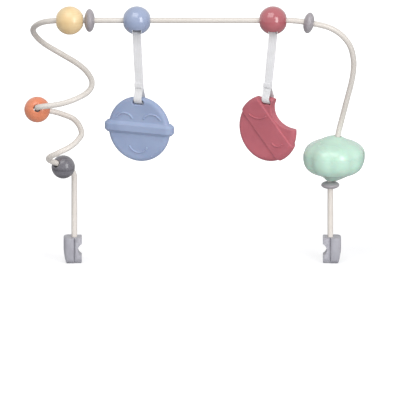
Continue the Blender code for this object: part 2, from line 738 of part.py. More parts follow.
def lobed_mesh(name, inset, facets, rings):
    """A lobed bead about its bore along Z; its body stands upright, and only its ends follow the bore."""
    bm = bmesh.new()
    bmesh.ops.create_uvsphere(bm, u_segments=LOBE_COUNT * facets, v_segments=rings, radius=1.0)
    half = LOBED_WIDTH / 2 - inset
    collar = BORE_RADIUS + FIT_GAP + TUBE_WALL - inset
    for vert in bm.verts:
        side = math.copysign(1, vert.co.z)
        tall = (LOBED_UPPER_HEIGHT if side > 0 else LOBED_LOWER_HEIGHT) - inset
        full = UPPER_FULLNESS_SHARE if side > 0 else LOWER_FULLNESS_SHARE
        flat = math.hypot(vert.co.x, vert.co.y)
        angle = math.atan2(vert.co.y, vert.co.x)
        crease = (1 - abs(math.sin(LOBE_COUNT / 2 * angle)))**1.6
        radius = half * flat**full * (1 - LOBE_DEPTH_SHARE * crease * flat)
        rise = abs(vert.co.z)**full
        if flat < math.sin(1.5 * math.pi / rings):
            radius = min(radius, collar)
            rise = 1
        near = min(max((BOSS_RADIUS - radius) / (BOSS_RADIUS - collar), 0), 1)
        boss = UPPER_BOSS_HEIGHT if side > 0 else LOWER_BOSS_HEIGHT
        height = BELLY_RISE + side * (tall * rise + boss * near)
        along = Vector((radius, 0, height))
        along.rotate(Matrix.Rotation(angle + LOBE_PHASE, 3, "Z"))
        vert.co = (Matrix.Rotation(-LOBED_TILT, 3, "Y") @ along).lerp(along, near)
    return mesh_from(name, bm)


def lobed_bead(finish):
    """The large lobed bead, two hollow shells that meet round their middle."""
    centre, _, _ = lobed_seat()
    lie = Matrix.Translation(centre) @ Matrix.Rotation(LOBED_TILT, 4, "Y")
    reach = LOBED_HEIGHT + LOBED_WIDTH
    bore_radius = BORE_RADIUS + FIT_GAP
    bore = cylinder("lobed_bore_cutter", bore_radius, reach, lie, 20)
    hollow = add_object("lobed_hollow_cutter", lobed_mesh("hollow", LOBED_WALL, 3, 10), place=lie)
    boolean(hollow, cylinder("lobed_post_cutter", bore_radius + TUBE_WALL, reach, lie, 20))
    tube = cylinder("lobed_tube_cutter", bore_radius + TUBE_WALL, LOBED_HEIGHT, lie, 20)
    for half, side in (("upper", 1), ("lower", -1)):
        name = f"mint_bead_{half}"
        shell = add_object(name, lobed_mesh(name, 0.0, 6, 16), finish, lie)
        boolean(shell, tube, "UNION")
        bm = bmesh.new()
        bmesh.ops.create_cube(bm, size=1.0)
        bmesh.ops.scale(bm, vec=(reach, reach, reach), verts=bm.verts)
        bmesh.ops.translate(bm, vec=(0, 0, side * (reach + FIT_GAP) / 2), verts=bm.verts)
        level = Matrix.Translation(centre + Vector((0, 0, BELLY_RISE)))
        boolean(shell, add_object(f"{name}_cutter", mesh_from(name, bm), place=level), "INTERSECT")
        boolean(shell, hollow)
        boolean(shell, bore)


def clip(side_name, side):
    """Two mouldings screwed together round the end of the wire."""
    split = FIT_GAP / 2
    leg = side * LEG_X
    top, bottom = CLIP_TOP, -CLIP_BOTTOM
    outer_front = [(split, bottom), (split, top)]
    outer_front += arc((CLIP_OUTER_WIDTH - CLIP_CORNER, top - CLIP_CORNER), CLIP_CORNER, math.pi / 2, 0, 4)
    outer_front += arc((CLIP_OUTER_WIDTH - CLIP_TAPER - CLIP_CORNER, bottom + CLIP_CORNER), CLIP_CORNER,
                       -math.pi / 12, -math.pi / 2, 4)
    inner_edge = -CLIP_INNER_WIDTH
    seat_x = inner_edge - (SEAT_RADIUS - SEAT_DEPTH)
    reach = math.asin((SEAT_RADIUS - SEAT_DEPTH) / SEAT_RADIUS)
    open_angle = math.pi / 2 - reach
    inner_front = [(-split, bottom), (inner_edge, bottom)]
    inner_front += arc((seat_x, 0), SEAT_RADIUS, -open_angle, open_angle, 10)
    inner_front += [(inner_edge, top), (-split, top)]
    low_front = CLIP_DEPTH / 2 - CLIP_UNDERCUT
    side_view = [(-CLIP_DEPTH / 2, top + CUT_OVERRUN), (CLIP_DEPTH / 2, top + CUT_OVERRUN),
                 (CLIP_DEPTH / 2, bottom - CUT_OVERRUN), (-low_front, bottom - CUT_OVERRUN)]
    side_view += arc((CLIP_DEPTH / 2, 0), CLIP_DEPTH, math.pi + math.pi / 4, math.pi, 6)

    stand = upright((leg, 0, 0))
    channel_end = top - WIRE_SEAT_DEPTH - FIT_GAP
    channel_length = top + CUT_OVERRUN - channel_end
    channel = cylinder(f"{side_name}_channel_cutter", WIRE_RADIUS + FIT_GAP, channel_length,
                       Matrix.Translation((leg, 0, channel_end + channel_length / 2)), 16)
    heights = (UPPER_SCREW_HEIGHT, -LOWER_SCREW_HEIGHT)
    head_side = Vector((-side, 0, 0))
    face = Vector((leg, 0, 0)) + head_side * CLIP_INNER_WIDTH
    for half, outline in (("outer", outer_front), ("inner", inner_front)):
        name = f"{side_name}_clip_{half}"
        front = [(side * x, z) for x, z in outline]
        body = add_object(name, slab_mesh(name, [front], CLIP_DEPTH, CLIP_ROUND, 1), CLIP, stand)
        if half == "outer":
            across = Matrix.Translation((leg + side * CLIP_OUTER_WIDTH / 2, 0, 0)) @ Matrix.Rotation(
                math.pi / 2, 4, "Z") @ Matrix.Rotation(math.pi / 2, 4, "X")
            form = slab_mesh("form", [side_view], CLIP_OUTER_WIDTH + 2 * CUT_OVERRUN)
            boolean(body, add_object(f"{name}_form_cutter", form, place=across), "INTERSECT")
        boolean(body, channel)
        for height in heights:
            start = face + Vector((0, 0, height))
            shank_middle = start - head_side * SCREW_LENGTH / 2
            place = frame_at(shank_middle, head_side)
            boolean(body, cylinder(f"{name}_screw_cutter", SCREW_DIAMETER / 2 + FIT_GAP,
                                   SCREW_LENGTH + 2 * FIT_GAP, place))
            if half == "inner":
                place = frame_at(start, head_side)
                boolean(body, cylinder(f"{name}_head_cutter", SCREW_HEAD_DIAMETER / 2 + FIT_GAP,
                                       2 * (SCREW_HEAD_DEPTH + FIT_GAP), place))

    profile = [(0, 0), (SCREW_HEAD_DIAMETER / 2, 0), (SCREW_HEAD_DIAMETER / 2, -SCREW_HEAD_DEPTH),
               (SCREW_DIAMETER / 2, -SCREW_HEAD_DEPTH), (SCREW_DIAMETER / 2, -SCREW_LENGTH),
               (0, -SCREW_LENGTH)]
    for level, height in zip(("upper", "lower"), heights):
        name = f"{side_name}_{level}_screw"
        place = frame_at(face + Vector((0, 0, height)), head_side)
        add_object(name, turned_mesh(name, profile, SMALL_STEPS, False), STEEL, place)


clear_scene()
PARTS = new_collection("high_chair_toy_bar")
CUTTERS = new_collection("cutters")
COATING = ((0.87, 0.83, 0.78), 0.35)
YELLOW = ((0.92, 0.61, 0.26), 0.25)
ORANGE = ((0.80, 0.26, 0.15), 0.25)
GREY = ((0.18, 0.18, 0.21), 0.25)
DISC = ((0.36, 0.32, 0.36), 0.4)
CLIP = ((0.38, 0.36, 0.44), 0.45)
STEEL = ((0.55, 0.55, 0.57), 0.35, 1.0)
BLUE = ((0.37, 0.46, 0.66), 0.3)
BLUE_SOFT = ((0.31, 0.39, 0.58), 0.6)
RED = ((0.54, 0.12, 0.15), 0.3)
RED_SOFT = ((0.49, 0.13, 0.16), 0.6)
MINT = ((0.52, 0.76, 0.63), 0.22)
WEB = ((0.85, 0.85, 0.87), 0.85)
WIRE_PATH = wire_path()
print_coil_gap()

bar_wire()
beads()
stop_discs()
strap_ball("blue", BLUE_PLACE, BLUE)
strap_ball("red", RED_PLACE, RED)
strap("blue", BLUE_PLACE, BLUE_TOY_PLACE, BLUE_YAW, WEB)
strap("red", RED_PLACE, RED_TOY_PLACE, RED_YAW, WEB)
blue_toy(BLUE_SOFT)
red_toy(RED_SOFT)
lobed_bead(MINT)
clip("left", -1)
clip("right", 1)
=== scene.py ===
"""High chair toy bar, dressed.

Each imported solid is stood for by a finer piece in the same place, from the wire outwards: coil beads, stop
discs, strap balls, straps, silicone toys, lobed bead, clips and screws. The stage comes last.
"""
import math

import bmesh
import bpy
from mathutils import Matrix, Vector


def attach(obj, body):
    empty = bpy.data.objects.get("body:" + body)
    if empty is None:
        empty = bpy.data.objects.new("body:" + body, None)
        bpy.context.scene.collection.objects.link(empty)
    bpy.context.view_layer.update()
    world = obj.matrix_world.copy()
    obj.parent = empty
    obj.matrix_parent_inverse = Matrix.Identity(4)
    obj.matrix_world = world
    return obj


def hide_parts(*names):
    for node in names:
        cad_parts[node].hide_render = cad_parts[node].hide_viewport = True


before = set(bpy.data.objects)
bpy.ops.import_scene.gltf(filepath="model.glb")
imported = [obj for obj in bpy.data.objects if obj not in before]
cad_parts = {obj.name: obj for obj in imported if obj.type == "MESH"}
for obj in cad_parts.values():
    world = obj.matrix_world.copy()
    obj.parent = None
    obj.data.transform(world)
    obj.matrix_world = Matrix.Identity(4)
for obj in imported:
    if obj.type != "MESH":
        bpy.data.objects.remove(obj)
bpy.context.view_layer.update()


# The bar is one length of 8 mm steel wire, bent cold into a bead coil, a straight rail and a bow. It is
# dipped in a cream coating that levels out smooth, and the beads polish it where they are pushed along.
WIRE_RADIUS = 0.004
WIRE_BENDS_MM = (
    (-179.20, 0.00, 3.80, 0, 0, 1), (-179.20, 0.00, 102.40, 0, 0, 1),
    (-184.76, -5.56, 114.98, -0.6355, -0.6355, 0.4384),
    (-204.14, -24.94, 128.35, -0.6355, -0.6355, 0.4384),
    (-215.22, -41.96, 139.05), (-202.11, -54.48, 149.76), (-185.27, -49.00, 157.14),
    (-173.98, -35.95, 164.28), (-169.09, -18.96, 171.66), (-178.24, 0.00, 184.51),
    (-196.45, 7.99, 191.41), (-213.23, 5.00, 196.41),
    (-231.12, -7.92, 200.63, 0, -0.9455, 0.3256), (-231.12, -40.06, 211.70, 0, -0.9455, 0.3256),
    (-199.18, -51.96, 219.50), (-178.33, -49.02, 225.68), (-159.97, -33.13, 232.82),
    (-154.44, -7.36, 240.92), (-161.49, 12.32, 250.67), (-174.08, 23.42, 259.72),
    (-199.48, 28.76, 274.24), (-220.32, 20.51, 288.99), (-232.78, 5.36, 303.99),
    (-237.00, -13.00, 317.55), (-229.89, -36.39, 330.88), (-217.28, -48.60, 337.54),
    (-195.00, -55.00, 340.40, 1, 0, 0), (120.20, -55.00, 340.40, 1, 0, 0),
    (136.73, -55.00, 339.04), (149.09, -55.00, 337.00), (164.86, -54.01, 333.59),
    (180.10, -52.52, 328.49), (194.79, -50.00, 318.27), (206.44, -45.98, 302.28),
    (211.64, -39.00, 281.17), (211.46, -32.01, 262.45), (208.23, -23.98, 242.02),
    (201.96, -13.47, 215.13), (195.87, -4.02, 188.92),
    (189.65, 0.00, 161.35, -0.1633, 0, -0.9866), (179.85, 0.00, 102.16, -0.1633, 0, -0.9866),
    (179.20, 0.00, 97.91, 0, 0, -1), (179.20, 0.00, 3.80, 0, 0, -1),
)


def paint(red, green, blue):
    """A colour as it is read off a swatch, from 0 to 255, for a shader socket."""
    parts = (part / 255 for part in (red, green, blue))
    return (*((part / 12.92 if part <= 0.04045 else ((part + 0.055) / 1.055) ** 2.4) for part in parts), 1.0)


def fit(tree, kind, settings=None, inputs=None):
    """Add a shader node; each input is a value or another node's output."""
    node = tree.nodes.new(kind)
    for key, value in (settings or {}).items():
        setattr(node, key, value)
    for key, value in (inputs or {}).items():
        if isinstance(value, bpy.types.NodeSocket):
            tree.links.new(value, node.inputs[key])
        else:
            node.inputs[key].default_value = value
    return node


def noise(tree, vector, scale, detail, **more):
    """Cloudy noise over a surface."""
    return fit(tree, "ShaderNodeTexNoise", None,
               {"Vector": vector, "Scale": scale, "Detail": detail, **more})


def ramp(tree, value, low, high, start=0.0, end=1.0):
    """Stretch a mask that runs from low to high, so that it runs from start to end."""
    return fit(tree, "ShaderNodeMapRange", None, {"Value": value, "From Min": low, "From Max": high,
                                                  "To Min": start, "To Max": end}).outputs["Result"]


def reckon(tree, operation, *values, **settings):
    """One step of arithmetic on masks and numbers."""
    step = fit(tree, "ShaderNodeMath", {"operation": operation, **settings}, dict(enumerate(values)))
    return step.outputs[0]


def blend(tree, share, first, second):
    """Mix two colours by a share."""
    return fit(tree, "ShaderNodeMix", {"data_type": "RGBA"}, {0: share, 6: first, 7: second}).outputs[2]


def effect(name, inputs, outputs):
    """A shader node group with named sockets for colours and numbers, and its two end nodes."""
    tree = bpy.data.node_groups.new(name, "ShaderNodeTree")
    for way, sockets in (("INPUT", inputs), ("OUTPUT", outputs)):
        for label, value in sockets.items():
            kind = "NodeSocketFloat" if isinstance(value, float) else "NodeSocketColor"
            tree.interface.new_socket(name=label, in_out=way, socket_type=kind).default_value = value
    return tree, tree.nodes.new("NodeGroupInput").outputs, tree.nodes.new("NodeGroupOutput").inputs


# Flow marks: the slow tone changes, fine grain and hair scratches that any moulded or dipped skin has
PLAIN_TONE = (0.8, 0.8, 0.8, 1.0)
skin_marks, given, gives = effect(
    "skin_marks",
    {"Tone": PLAIN_TONE, "Deep tone": PLAIN_TONE, "Patch scale": 40.0, "Grain scale": 2500.0, "Gloss": 0.4,
     "Gloss spread": 0.1, "Scratches": 0.3},
    {"Tone": PLAIN_TONE, "Gloss": 0.4, "Grain": 0.5})
place = fit(skin_marks, "ShaderNodeTexCoord").outputs["Object"]
patches = noise(skin_marks, place, given["Patch scale"], 4.0, Roughness=0.55, Distortion=0.4).outputs["Fac"]
mottle = blend(skin_marks, ramp(skin_marks, patches, 0.35, 0.68), given["Tone"], given["Deep tone"])
bent = noise(skin_marks, place, 90.0, 1.0).outputs["Color"]
wander = fit(skin_marks, "ShaderNodeMix", {"data_type": "VECTOR"}, {0: 0.012, 4: place, 5: bent}).outputs[1]
hairs = fit(skin_marks, "ShaderNodeTexVoronoi", {"feature": "DISTANCE_TO_EDGE"},
            {"Vector": wander, "Scale": 230.0}).outputs["Distance"]
broken = ramp(skin_marks, noise(skin_marks, place, 140.0, 2.0).outputs["Fac"], 0.52, 0.6)
scratch = reckon(skin_marks, "MULTIPLY", ramp(skin_marks, hairs, 0.0, 0.018, 1.0, 0.0), broken)
scratched = reckon(skin_marks, "MULTIPLY", scratch, given["Scratches"])
uneven = ramp(skin_marks, patches, 0.3, 0.7, -0.5, 0.5)
spread = reckon(skin_marks, "MULTIPLY_ADD", uneven, given["Gloss spread"], given["Gloss"])
dulled = reckon(skin_marks, "MULTIPLY_ADD", scratched, 0.25, spread, use_clamp=True)
grain = noise(skin_marks, place, given["Grain scale"], 2.0).outputs["Fac"]
for label, value in (("Tone", mottle), ("Gloss", dulled), ("Grain", grain)):
    skin_marks.links.new(value, gives[label])

# Edge wear and painted highlight: convex corners and lips go paler, part rubbed, part painted highlight
edge_wear_and_highlight, given, gives = effect(
    "edge_wear_and_highlight", {"Tone": PLAIN_TONE, "Pale edge tone": PLAIN_TONE, "Amount": 0.4}, {"Tone": PLAIN_TONE})
bend = fit(edge_wear_and_highlight, "ShaderNodeNewGeometry").outputs["Pointiness"]
place = fit(edge_wear_and_highlight, "ShaderNodeTexCoord").outputs["Object"]
patchy = ramp(edge_wear_and_highlight, noise(edge_wear_and_highlight, place, 260.0, 3.0).outputs["Fac"], 0.35, 0.6)
edge_paling = reckon(edge_wear_and_highlight, "MULTIPLY", ramp(edge_wear_and_highlight, bend, 0.52, 0.6), patchy)
pale_edge = reckon(edge_wear_and_highlight, "MULTIPLY", edge_paling, given["Amount"])
edge_wear_and_highlight.links.new(blend(edge_wear_and_highlight, pale_edge, given["Tone"], given["Pale edge tone"]), gives["Tone"])


def skin(name, tone, deep, pale_edge, marks, edge_paling=0.4, grain_depth=0.00002, **constants):
    """A coated or moulded finish; its marks are the last five inputs of skin_marks, in their order."""
    made = bpy.data.materials.new(name)
    made.use_nodes = True
    tree = made.node_tree
    shader = tree.nodes["Principled BSDF"]
    labels = ("Patch scale", "Grain scale", "Gloss", "Gloss spread", "Scratches")
    mottled = fit(tree, "ShaderNodeGroup", {"node_tree": skin_marks},
                  {"Tone": paint(*tone), "Deep tone": paint(*deep), **dict(zip(labels, marks))}).outputs
    # Pale edges: part edge wear, part a painted highlight along convex edges
    edged = fit(tree, "ShaderNodeGroup", {"node_tree": edge_wear_and_highlight},
                {"Tone": mottled["Tone"], "Pale edge tone": paint(*pale_edge), "Amount": edge_paling}).outputs
    relief = fit(tree, "ShaderNodeBump", None, {"Height": mottled["Grain"], "Distance": grain_depth})
    tree.links.new(edged["Tone"], shader.inputs["Base Color"])
    tree.links.new(mottled["Gloss"], shader.inputs["Roughness"])
    tree.links.new(relief.outputs["Normal"], shader.inputs["Normal"])
    for label, value in constants.items():
        shader.inputs[label.replace("_", " ")].default_value = value
    return made


def settled(name, source):
    """Turn a curve, or an object with modifiers, into a mesh and take the source away."""
    bpy.context.scene.collection.objects.link(source)
    bpy.context.view_layer.update()
    mesh = bpy.data.meshes.new_from_object(source.evaluated_get(bpy.context.evaluated_depsgraph_get()))
    mesh.name = name
    bpy.data.objects.remove(source)
    return mesh


def shaded(mesh, crease=50):
    """Shade a mesh smooth up to a crease in degrees."""
    mesh.shade_smooth()
    mesh.set_sharp_from_angle(angle=math.radians(crease))
    return mesh


def mount(name, mesh, finish, body, slot, *solids):
    """Set a finished mesh on its body with its finish, hiding the solids it stands for; slot is not used."""
    made = bpy.data.objects.new(name, mesh)
    bpy.context.scene.collection.objects.link(made)
    mesh.materials.clear()
    mesh.materials.append(finish)
    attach(made, body)
    if solids:
        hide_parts(*solids)
    return made


def bent_wire(name, bends, radius):
    """Bend a wire through places in millimetres; a place may also state the way the wire passes it."""
    curve = bpy.data.curves.new(name, "CURVE")
    curve.dimensions = "3D"
    curve.bevel_depth = radius
    curve.bevel_resolution = 5
    curve.resolution_u = 8
    curve.use_fill_caps = True
    line = curve.splines.new("BEZIER")
    line.bezier_points.add(len(bends) - 1)
    places = [Vector(bend[:3]) / 1000 for bend in bends]
    for number, (knot, bend, spot) in enumerate(zip(line.bezier_points, bends, places)):
        before = places[max(number - 1, 0)]
        after = places[min(number + 1, len(places) - 1)]
        way = Vector(bend[3:] or after - before).normalized()
        knot.handle_left_type = knot.handle_right_type = "FREE"
        knot.co = spot
        knot.handle_left = spot - way * (spot - before).length / 3
        knot.handle_right = spot + way * (after - spot).length / 3
    return shaded(settled(name, bpy.data.objects.new(name, curve)))


coating = skin("cream_coating", (231, 225, 218), (225, 218, 210), (238, 234, 230),
               (26.0, 600.0, 0.36, 0.06, 0.2), 0.2, 0.00001, Coat_Weight=0.25, Coat_Roughness=0.2)
mount("coated_wire", bent_wire("coated_wire", WIRE_BENDS_MM, WIRE_RADIUS), coating, "frame", "wire_coating",
      "bar_wire")


# The coil carries three ball beads, moulded solid in glossy plastic that sets with fine level streaks. Each
# is bored wider than the wire, so that it runs round the bends and hangs by the top of its eased bore.
BEAD_BORE_RADIUS = 0.0052
BEAD_LIP = 0.0007
SEAM_REACH = 0.000005
RIM_STEPS = 36
ROUND_STEPS = 96
COIL_BEADS = (
    ("yellow_coil_bead", 0.040, 0.0374, (-0.18567, -0.05436, 0.34014), (0.99929, -0.03488, 0.01392),
     "yellow_bead_body", "yellow_gloss", "yellow_ball"),
    ("orange_coil_bead", 0.0364, 0.0340, (-0.23112, -0.02428, 0.20532), (0, 0.94552, -0.32557),
     "orange_bead_body", "orange_gloss", "orange_bead"),
    ("grey_coil_bead", 0.033, 0.0305, (-0.19473, -0.01553, 0.12086), (0.63554, 0.63554, -0.43837),
     "grey_bead_body", "grey_gloss", "grey_ball"),
)


def bored_bead(hub, reach, tall, flat, bore, lip):
    """A bead about Z: its rim is an oval round the hub, faced off flat at both ends and bored through."""
    bead = bmesh.new()
    turn = math.asin(flat / tall)
    first = bead.verts.new((math.cos(turn), 0, math.sin(turn)))
    bmesh.ops.spin(bead, geom=[first], axis=(0, 1, 0), angle=2 * turn, steps=RIM_STEPS)
    bmesh.ops.scale(bead, vec=(reach, 1, tall), verts=bead.verts)
    bmesh.ops.translate(bead, vec=(hub, 0, 0), verts=bead.verts)
    ends = sorted(bead.verts, key=lambda vert: vert.co.z)
    inner = bmesh.ops.extrude_vert_indiv(bead, verts=[ends[0], ends[-1]])["verts"]
    for vert in inner:
        vert.co.x = bore
    if bore:
        bmesh.ops.contextual_create(bead, geom=inner)
    bmesh.ops.spin(bead, geom=bead.verts[:] + bead.edges[:], axis=(0, 0, 1), angle=math.tau,
                   steps=ROUND_STEPS, use_merge=True)
    bmesh.ops.remove_doubles(bead, verts=bead.verts, dist=SEAM_REACH)
    bmesh.ops.recalc_face_normals(bead, faces=bead.faces)
    sharp = [edge for edge in bead.edges if edge.is_manifold and edge.calc_face_angle() > math.radians(30)]
    bmesh.ops.bevel(bead, geom=sharp, offset=lip, segments=4, profile=0.5, affect="EDGES", material=-1,
                    clamp_overlap=True)
    return bead


def threaded(spot, way):
    """The place of a piece whose bore runs along a way."""
    return Matrix.Translation(spot) @ Vector(way).to_track_quat("Z", "Y").to_matrix().to_4x4()


def moved(shape, place):
    """Move and turn the whole of a shape to its place."""
    bmesh.ops.transform(shape, matrix=place, verts=shape.verts)
    return shape


def meshed(name, shape):
    """Make a worked shape a mesh, shaded smooth all over."""
    mesh = bpy.data.meshes.new(name)
    shape.to_mesh(mesh)
    shape.free()
    mesh.shade_smooth()
    return mesh


def cast(name, shape, crease=35):
    """Close a shape's seams, face it outwards and make it a mesh, shaded up to a crease."""
    bmesh.ops.remove_doubles(shape, verts=shape.verts, dist=SEAM_REACH)
    bmesh.ops.recalc_face_normals(shape, faces=shape.faces)
    return shaded(meshed(name, shape), crease)


# Flow streaks: fine level lines where the plastic ran in the mould
flow_streaks, given, gives = effect(
    "flow_streaks", {"Tone": PLAIN_TONE, "Streak tone": PLAIN_TONE, "Amount": 0.5}, {"Tone": PLAIN_TONE})
place = fit(flow_streaks, "ShaderNodeTexCoord").outputs["Object"]
drawn_out = fit(flow_streaks, "ShaderNodeMapping", None, {"Vector": place, "Scale": (14.0, 14.0, 380.0)})
streaks = noise(flow_streaks, drawn_out.outputs["Vector"], 1.0, 3.0, Roughness=0.6).outputs["Fac"]
share = reckon(flow_streaks, "MULTIPLY", ramp(flow_streaks, streaks, 0.48, 0.66), given["Amount"])
flow_streaks.links.new(blend(flow_streaks, share, given["Tone"], given["Streak tone"]), gives["Tone"])


def streaked_skin(name, tone, deep, pale_edge, streak, amount, marks, **constants):
    """A moulded skin whose tone also has the flow streaks."""
    made = skin(name, tone, deep, pale_edge, marks, 0.3, **constants)
    tree = made.node_tree
    base = tree.nodes["Principled BSDF"].inputs["Base Color"]
    marked = fit(tree, "ShaderNodeGroup", {"node_tree": flow_streaks},
                 {"Tone": base.links[0].from_socket, "Streak tone": paint(*streak), "Amount": amount})
    tree.links.new(marked.outputs["Tone"], base)
    return made


bead_skins = {
    "yellow_gloss": streaked_skin("yellow_gloss_bead", (255, 229, 180), (249, 216, 160), (255, 242, 212),
                                  (238, 200, 142), 0.4, (60.0, 700.0, 0.32, 0.10, 0.4), Coat_Weight=0.5,
                                  Coat_Roughness=0.22),
    "orange_gloss": streaked_skin("orange_gloss_bead", (246, 154, 113), (236, 138, 99), (250, 188, 160),
                                  (224, 122, 88), 0.4, (60.0, 700.0, 0.30, 0.10, 0.4), Coat_Weight=0.5,
                                  Coat_Roughness=0.2),
    "grey_gloss": streaked_skin("grey_gloss_bead", (124, 122, 129), (112, 110, 118), (158, 156, 163),
                                (90, 88, 95), 0.9, (50.0, 700.0, 0.26, 0.12, 0.5), Coat_Weight=0.6,
                                Coat_Roughness=0.12),
}
for name, diameter, length, spot, way, body, slot, solid in COIL_BEADS:
    shape = bored_bead(0, diameter / 2, diameter / 2, length / 2, BEAD_BORE_RADIUS, BEAD_LIP)
    mount(name, cast(name, moved(shape, threaded(spot, way))), bead_skins[slot], body, slot, solid)


# Three stop discs keep the beads apart. Each is a domed button of satin polypropylene, pushed on to the wire
# while warm so that it grips, with a small flat round the hole.
DISC_DOME_SHARE = 1.05
DISC_BORE_RADIUS = 0.0043
DISC_LIP = 0.0005
STOP_DISCS = (
    ("left_stop_disc", 0.0325, 0.0141, (-0.1579, -0.055, 0.3404), (1, 0, 0), "stop_disc_left"),
    ("right_stop_disc", 0.0295, 0.0141, (0.14898, -0.05479, 0.33685), (0.98196, 0.03029, -0.18665),
     "stop_disc_right"),
    ("leg_stop_disc", 0.0258, 0.0105, (0.1792, 0, 0.0915), (0, 0, 1), "stop_disc_leg"),
)
disc_satin = skin("disc_satin", (177, 171, 176), (163, 158, 163), (205, 201, 204),
                  (60.0, 3200.0, 0.36, 0.10, 0.4), 0.5, 0.00004, Coat_Weight=0.3, Coat_Roughness=0.3)
for name, diameter, thickness, spot, way, solid in STOP_DISCS:
    shape = bored_bead(0, diameter / 2, thickness / 2 * DISC_DOME_SHARE, thickness / 2, DISC_BORE_RADIUS,
                       DISC_LIP)
    mount(name, cast(name, moved(shape, threaded(spot, way))), disc_satin, "frame", "disc_plastic", solid)


# A strap ball is two glossy half shells pegged together round the wire. A slot across its underside lets the
# strap loop out and gives it room to swing; the slot's lips and the seam are eased.
RAIL_HEIGHT = 0.3404
RAIL_REACH = 0.055
STRAP_BALL_RADIUS = 0.020
STRAP_BALL_HALF_LENGTH = 0.0187
STRAP_BALL_BORE_RADIUS = 0.0046
SEAM_GAP = 0.0003
SLOT_WIDTH = 0.0126
SLOT_EASE = 0.00025
SLOT_STEPS = 24
POCKET_RADIUS = 0.0125
STRAP_BALLS = (("blue", -0.0917, math.radians(58)), ("red", 0.0990, math.radians(48)))


def carve(mesh, tool, way="DIFFERENCE"):
    """Cut a closed mesh with another, or keep only what the two share."""
    cutter = bpy.data.objects.new("cutter", tool)
    bpy.context.scene.collection.objects.link(cutter)
    work = bpy.data.objects.new("work", mesh)
    step = work.modifiers.new("Cut", "BOOLEAN")
    step.object = cutter
    step.operation = way
    result = settled(mesh.name, work)
    bpy.data.objects.remove(cutter)
    return result


def eased(mesh, width, segments=3, angle=35):
    """Round a mesh's edges that are sharper than an angle, and shade it smooth."""
    work = bpy.data.objects.new("work", mesh)
    step = work.modifiers.new("Ease", "BEVEL")
    step.width = width
    step.segments = segments
    step.limit_method = "ANGLE"
    step.angle_limit = math.radians(angle)
    split = work.modifiers.new("Split", "TRIANGULATE")
    split.min_vertices = 5
    return shaded(settled(mesh.name, work))


def deepened(blank, way):
    """Give a flat blank its depth along a way, half to each side of where it lay."""
    grown = bmesh.ops.extrude_face_region(blank, geom=blank.faces[:])["geom"]
    bmesh.ops.translate(blank, vec=way,
                        verts=[part for part in grown if isinstance(part, bmesh.types.BMVert)])
    bmesh.ops.translate(blank, vec=[-part / 2 for part in way], verts=blank.verts)


def slot_tool(centre, half_angle):
    """What the moulding tool leaves open under a strap ball: a fan-shaped slot."""
    fan = bmesh.new()
    far = STRAP_BALL_RADIUS * 1.3
    fan.verts.new((0, 0, 0))
    start = fan.verts.new((0, -far * math.sin(half_angle), -far * math.cos(half_angle)))
    bmesh.ops.spin(fan, geom=[start], axis=(1, 0, 0), angle=2 * half_angle, steps=SLOT_STEPS)
    bmesh.ops.contextual_create(fan, geom=fan.verts[:])
    deepened(fan, (SLOT_WIDTH, 0, 0))
    bmesh.ops.translate(fan, vec=centre, verts=fan.verts)
    return cast("slot_tool", fan)


def pocket_tool(centre):
    """The round pocket inside a strap ball where the loop turns on the wire."""
    drum = bmesh.new()
    bmesh.ops.create_cone(drum, cap_ends=True, segments=48, radius1=POCKET_RADIUS, radius2=POCKET_RADIUS,
                          depth=SLOT_WIDTH - SEAM_GAP / 10)
    return cast("pocket_tool", moved(drum, threaded(centre, (1, 0, 0))))


BALL_TONES = (("blue", (165, 179, 210), (155, 169, 202), (202, 212, 234)),
              ("red", (190, 102, 110), (179, 91, 100), (222, 150, 156)))
ball_skins = {colour: skin(f"{colour}_gloss_shell", *tones, (40.0, 600.0, 0.17, 0.10, 0.5), 0.4, 0.00001,
                           Coat_Weight=0.9, Coat_Roughness=0.1) for colour, *tones in BALL_TONES}
for colour, across, slot_angle in STRAP_BALLS:
    centre = Vector((across, -RAIL_REACH, RAIL_HEIGHT))
    for half, side in (("front", -1), ("rear", 1)):
        name = f"{colour}_ball_{half}_shell"
        shape = bored_bead(0, STRAP_BALL_RADIUS, STRAP_BALL_RADIUS, STRAP_BALL_HALF_LENGTH,
                           STRAP_BALL_BORE_RADIUS, BEAD_LIP)
        moved(shape, threaded(centre, (1, 0, 0)))
        bmesh.ops.bisect_plane(shape, geom=shape.verts[:] + shape.edges[:] + shape.faces[:],
                               plane_co=(0, centre.y + side * SEAM_GAP / 2, 0), plane_no=(0, -side, 0),
                               clear_outer=True)
        bmesh.ops.holes_fill(shape, edges=[edge for edge in shape.edges if edge.is_boundary], sides=0)
        shell = carve(cast(name, shape), slot_tool(centre, slot_angle))
        shell = eased(carve(shell, pocket_tool(centre)), SLOT_EASE)
        mount(name, shell, ball_skins[colour], f"{colour}_ball_body", f"{colour}_gloss",
              f"{colour}_ball_{half}")


# Each toy hangs on 12 mm polyester webbing. It is looped round the wire inside the ball and round the toy's
# rim, turns on the way down to face as the toy does, and is sewn over itself with a box of stitches.
WEB_WIDTH = 0.012
WEB_THICKNESS = 0.0012
PLY_PITCH = 0.0015
WIRE_LOOP_RADIUS = 0.0052
RIM_LOOP_RADIUS = 0.00696
HINGE_DROP = 0.1115
LAP_LOW = -0.09705
LAP_HIGH = -0.0893
FOLD_LENGTH = 0.0059
TWIST_START = 0.0225
TWIST_END = 0.0948
SELVEDGE_ROUND = 0.00045
# Heights below the rail where the painted shade on the webbing starts and where it is full
PAINTED_SHADE_START = 0.0172
PAINTED_SHADE_END = 0.0156
THREAD_RADIUS = 0.00022
STITCH_LENGTH = 0.0019
STITCH_SHARE = 0.88
STITCH_INSET = 0.0021
STITCH_ABOVE_TAIL = 0.0011
STITCH_BELOW_FOLD = 0.0014
STRAPS = {"blue": (-0.0917, 0.0037, math.radians(-23)), "red": (0.0990, -0.0070, math.radians(-32))}


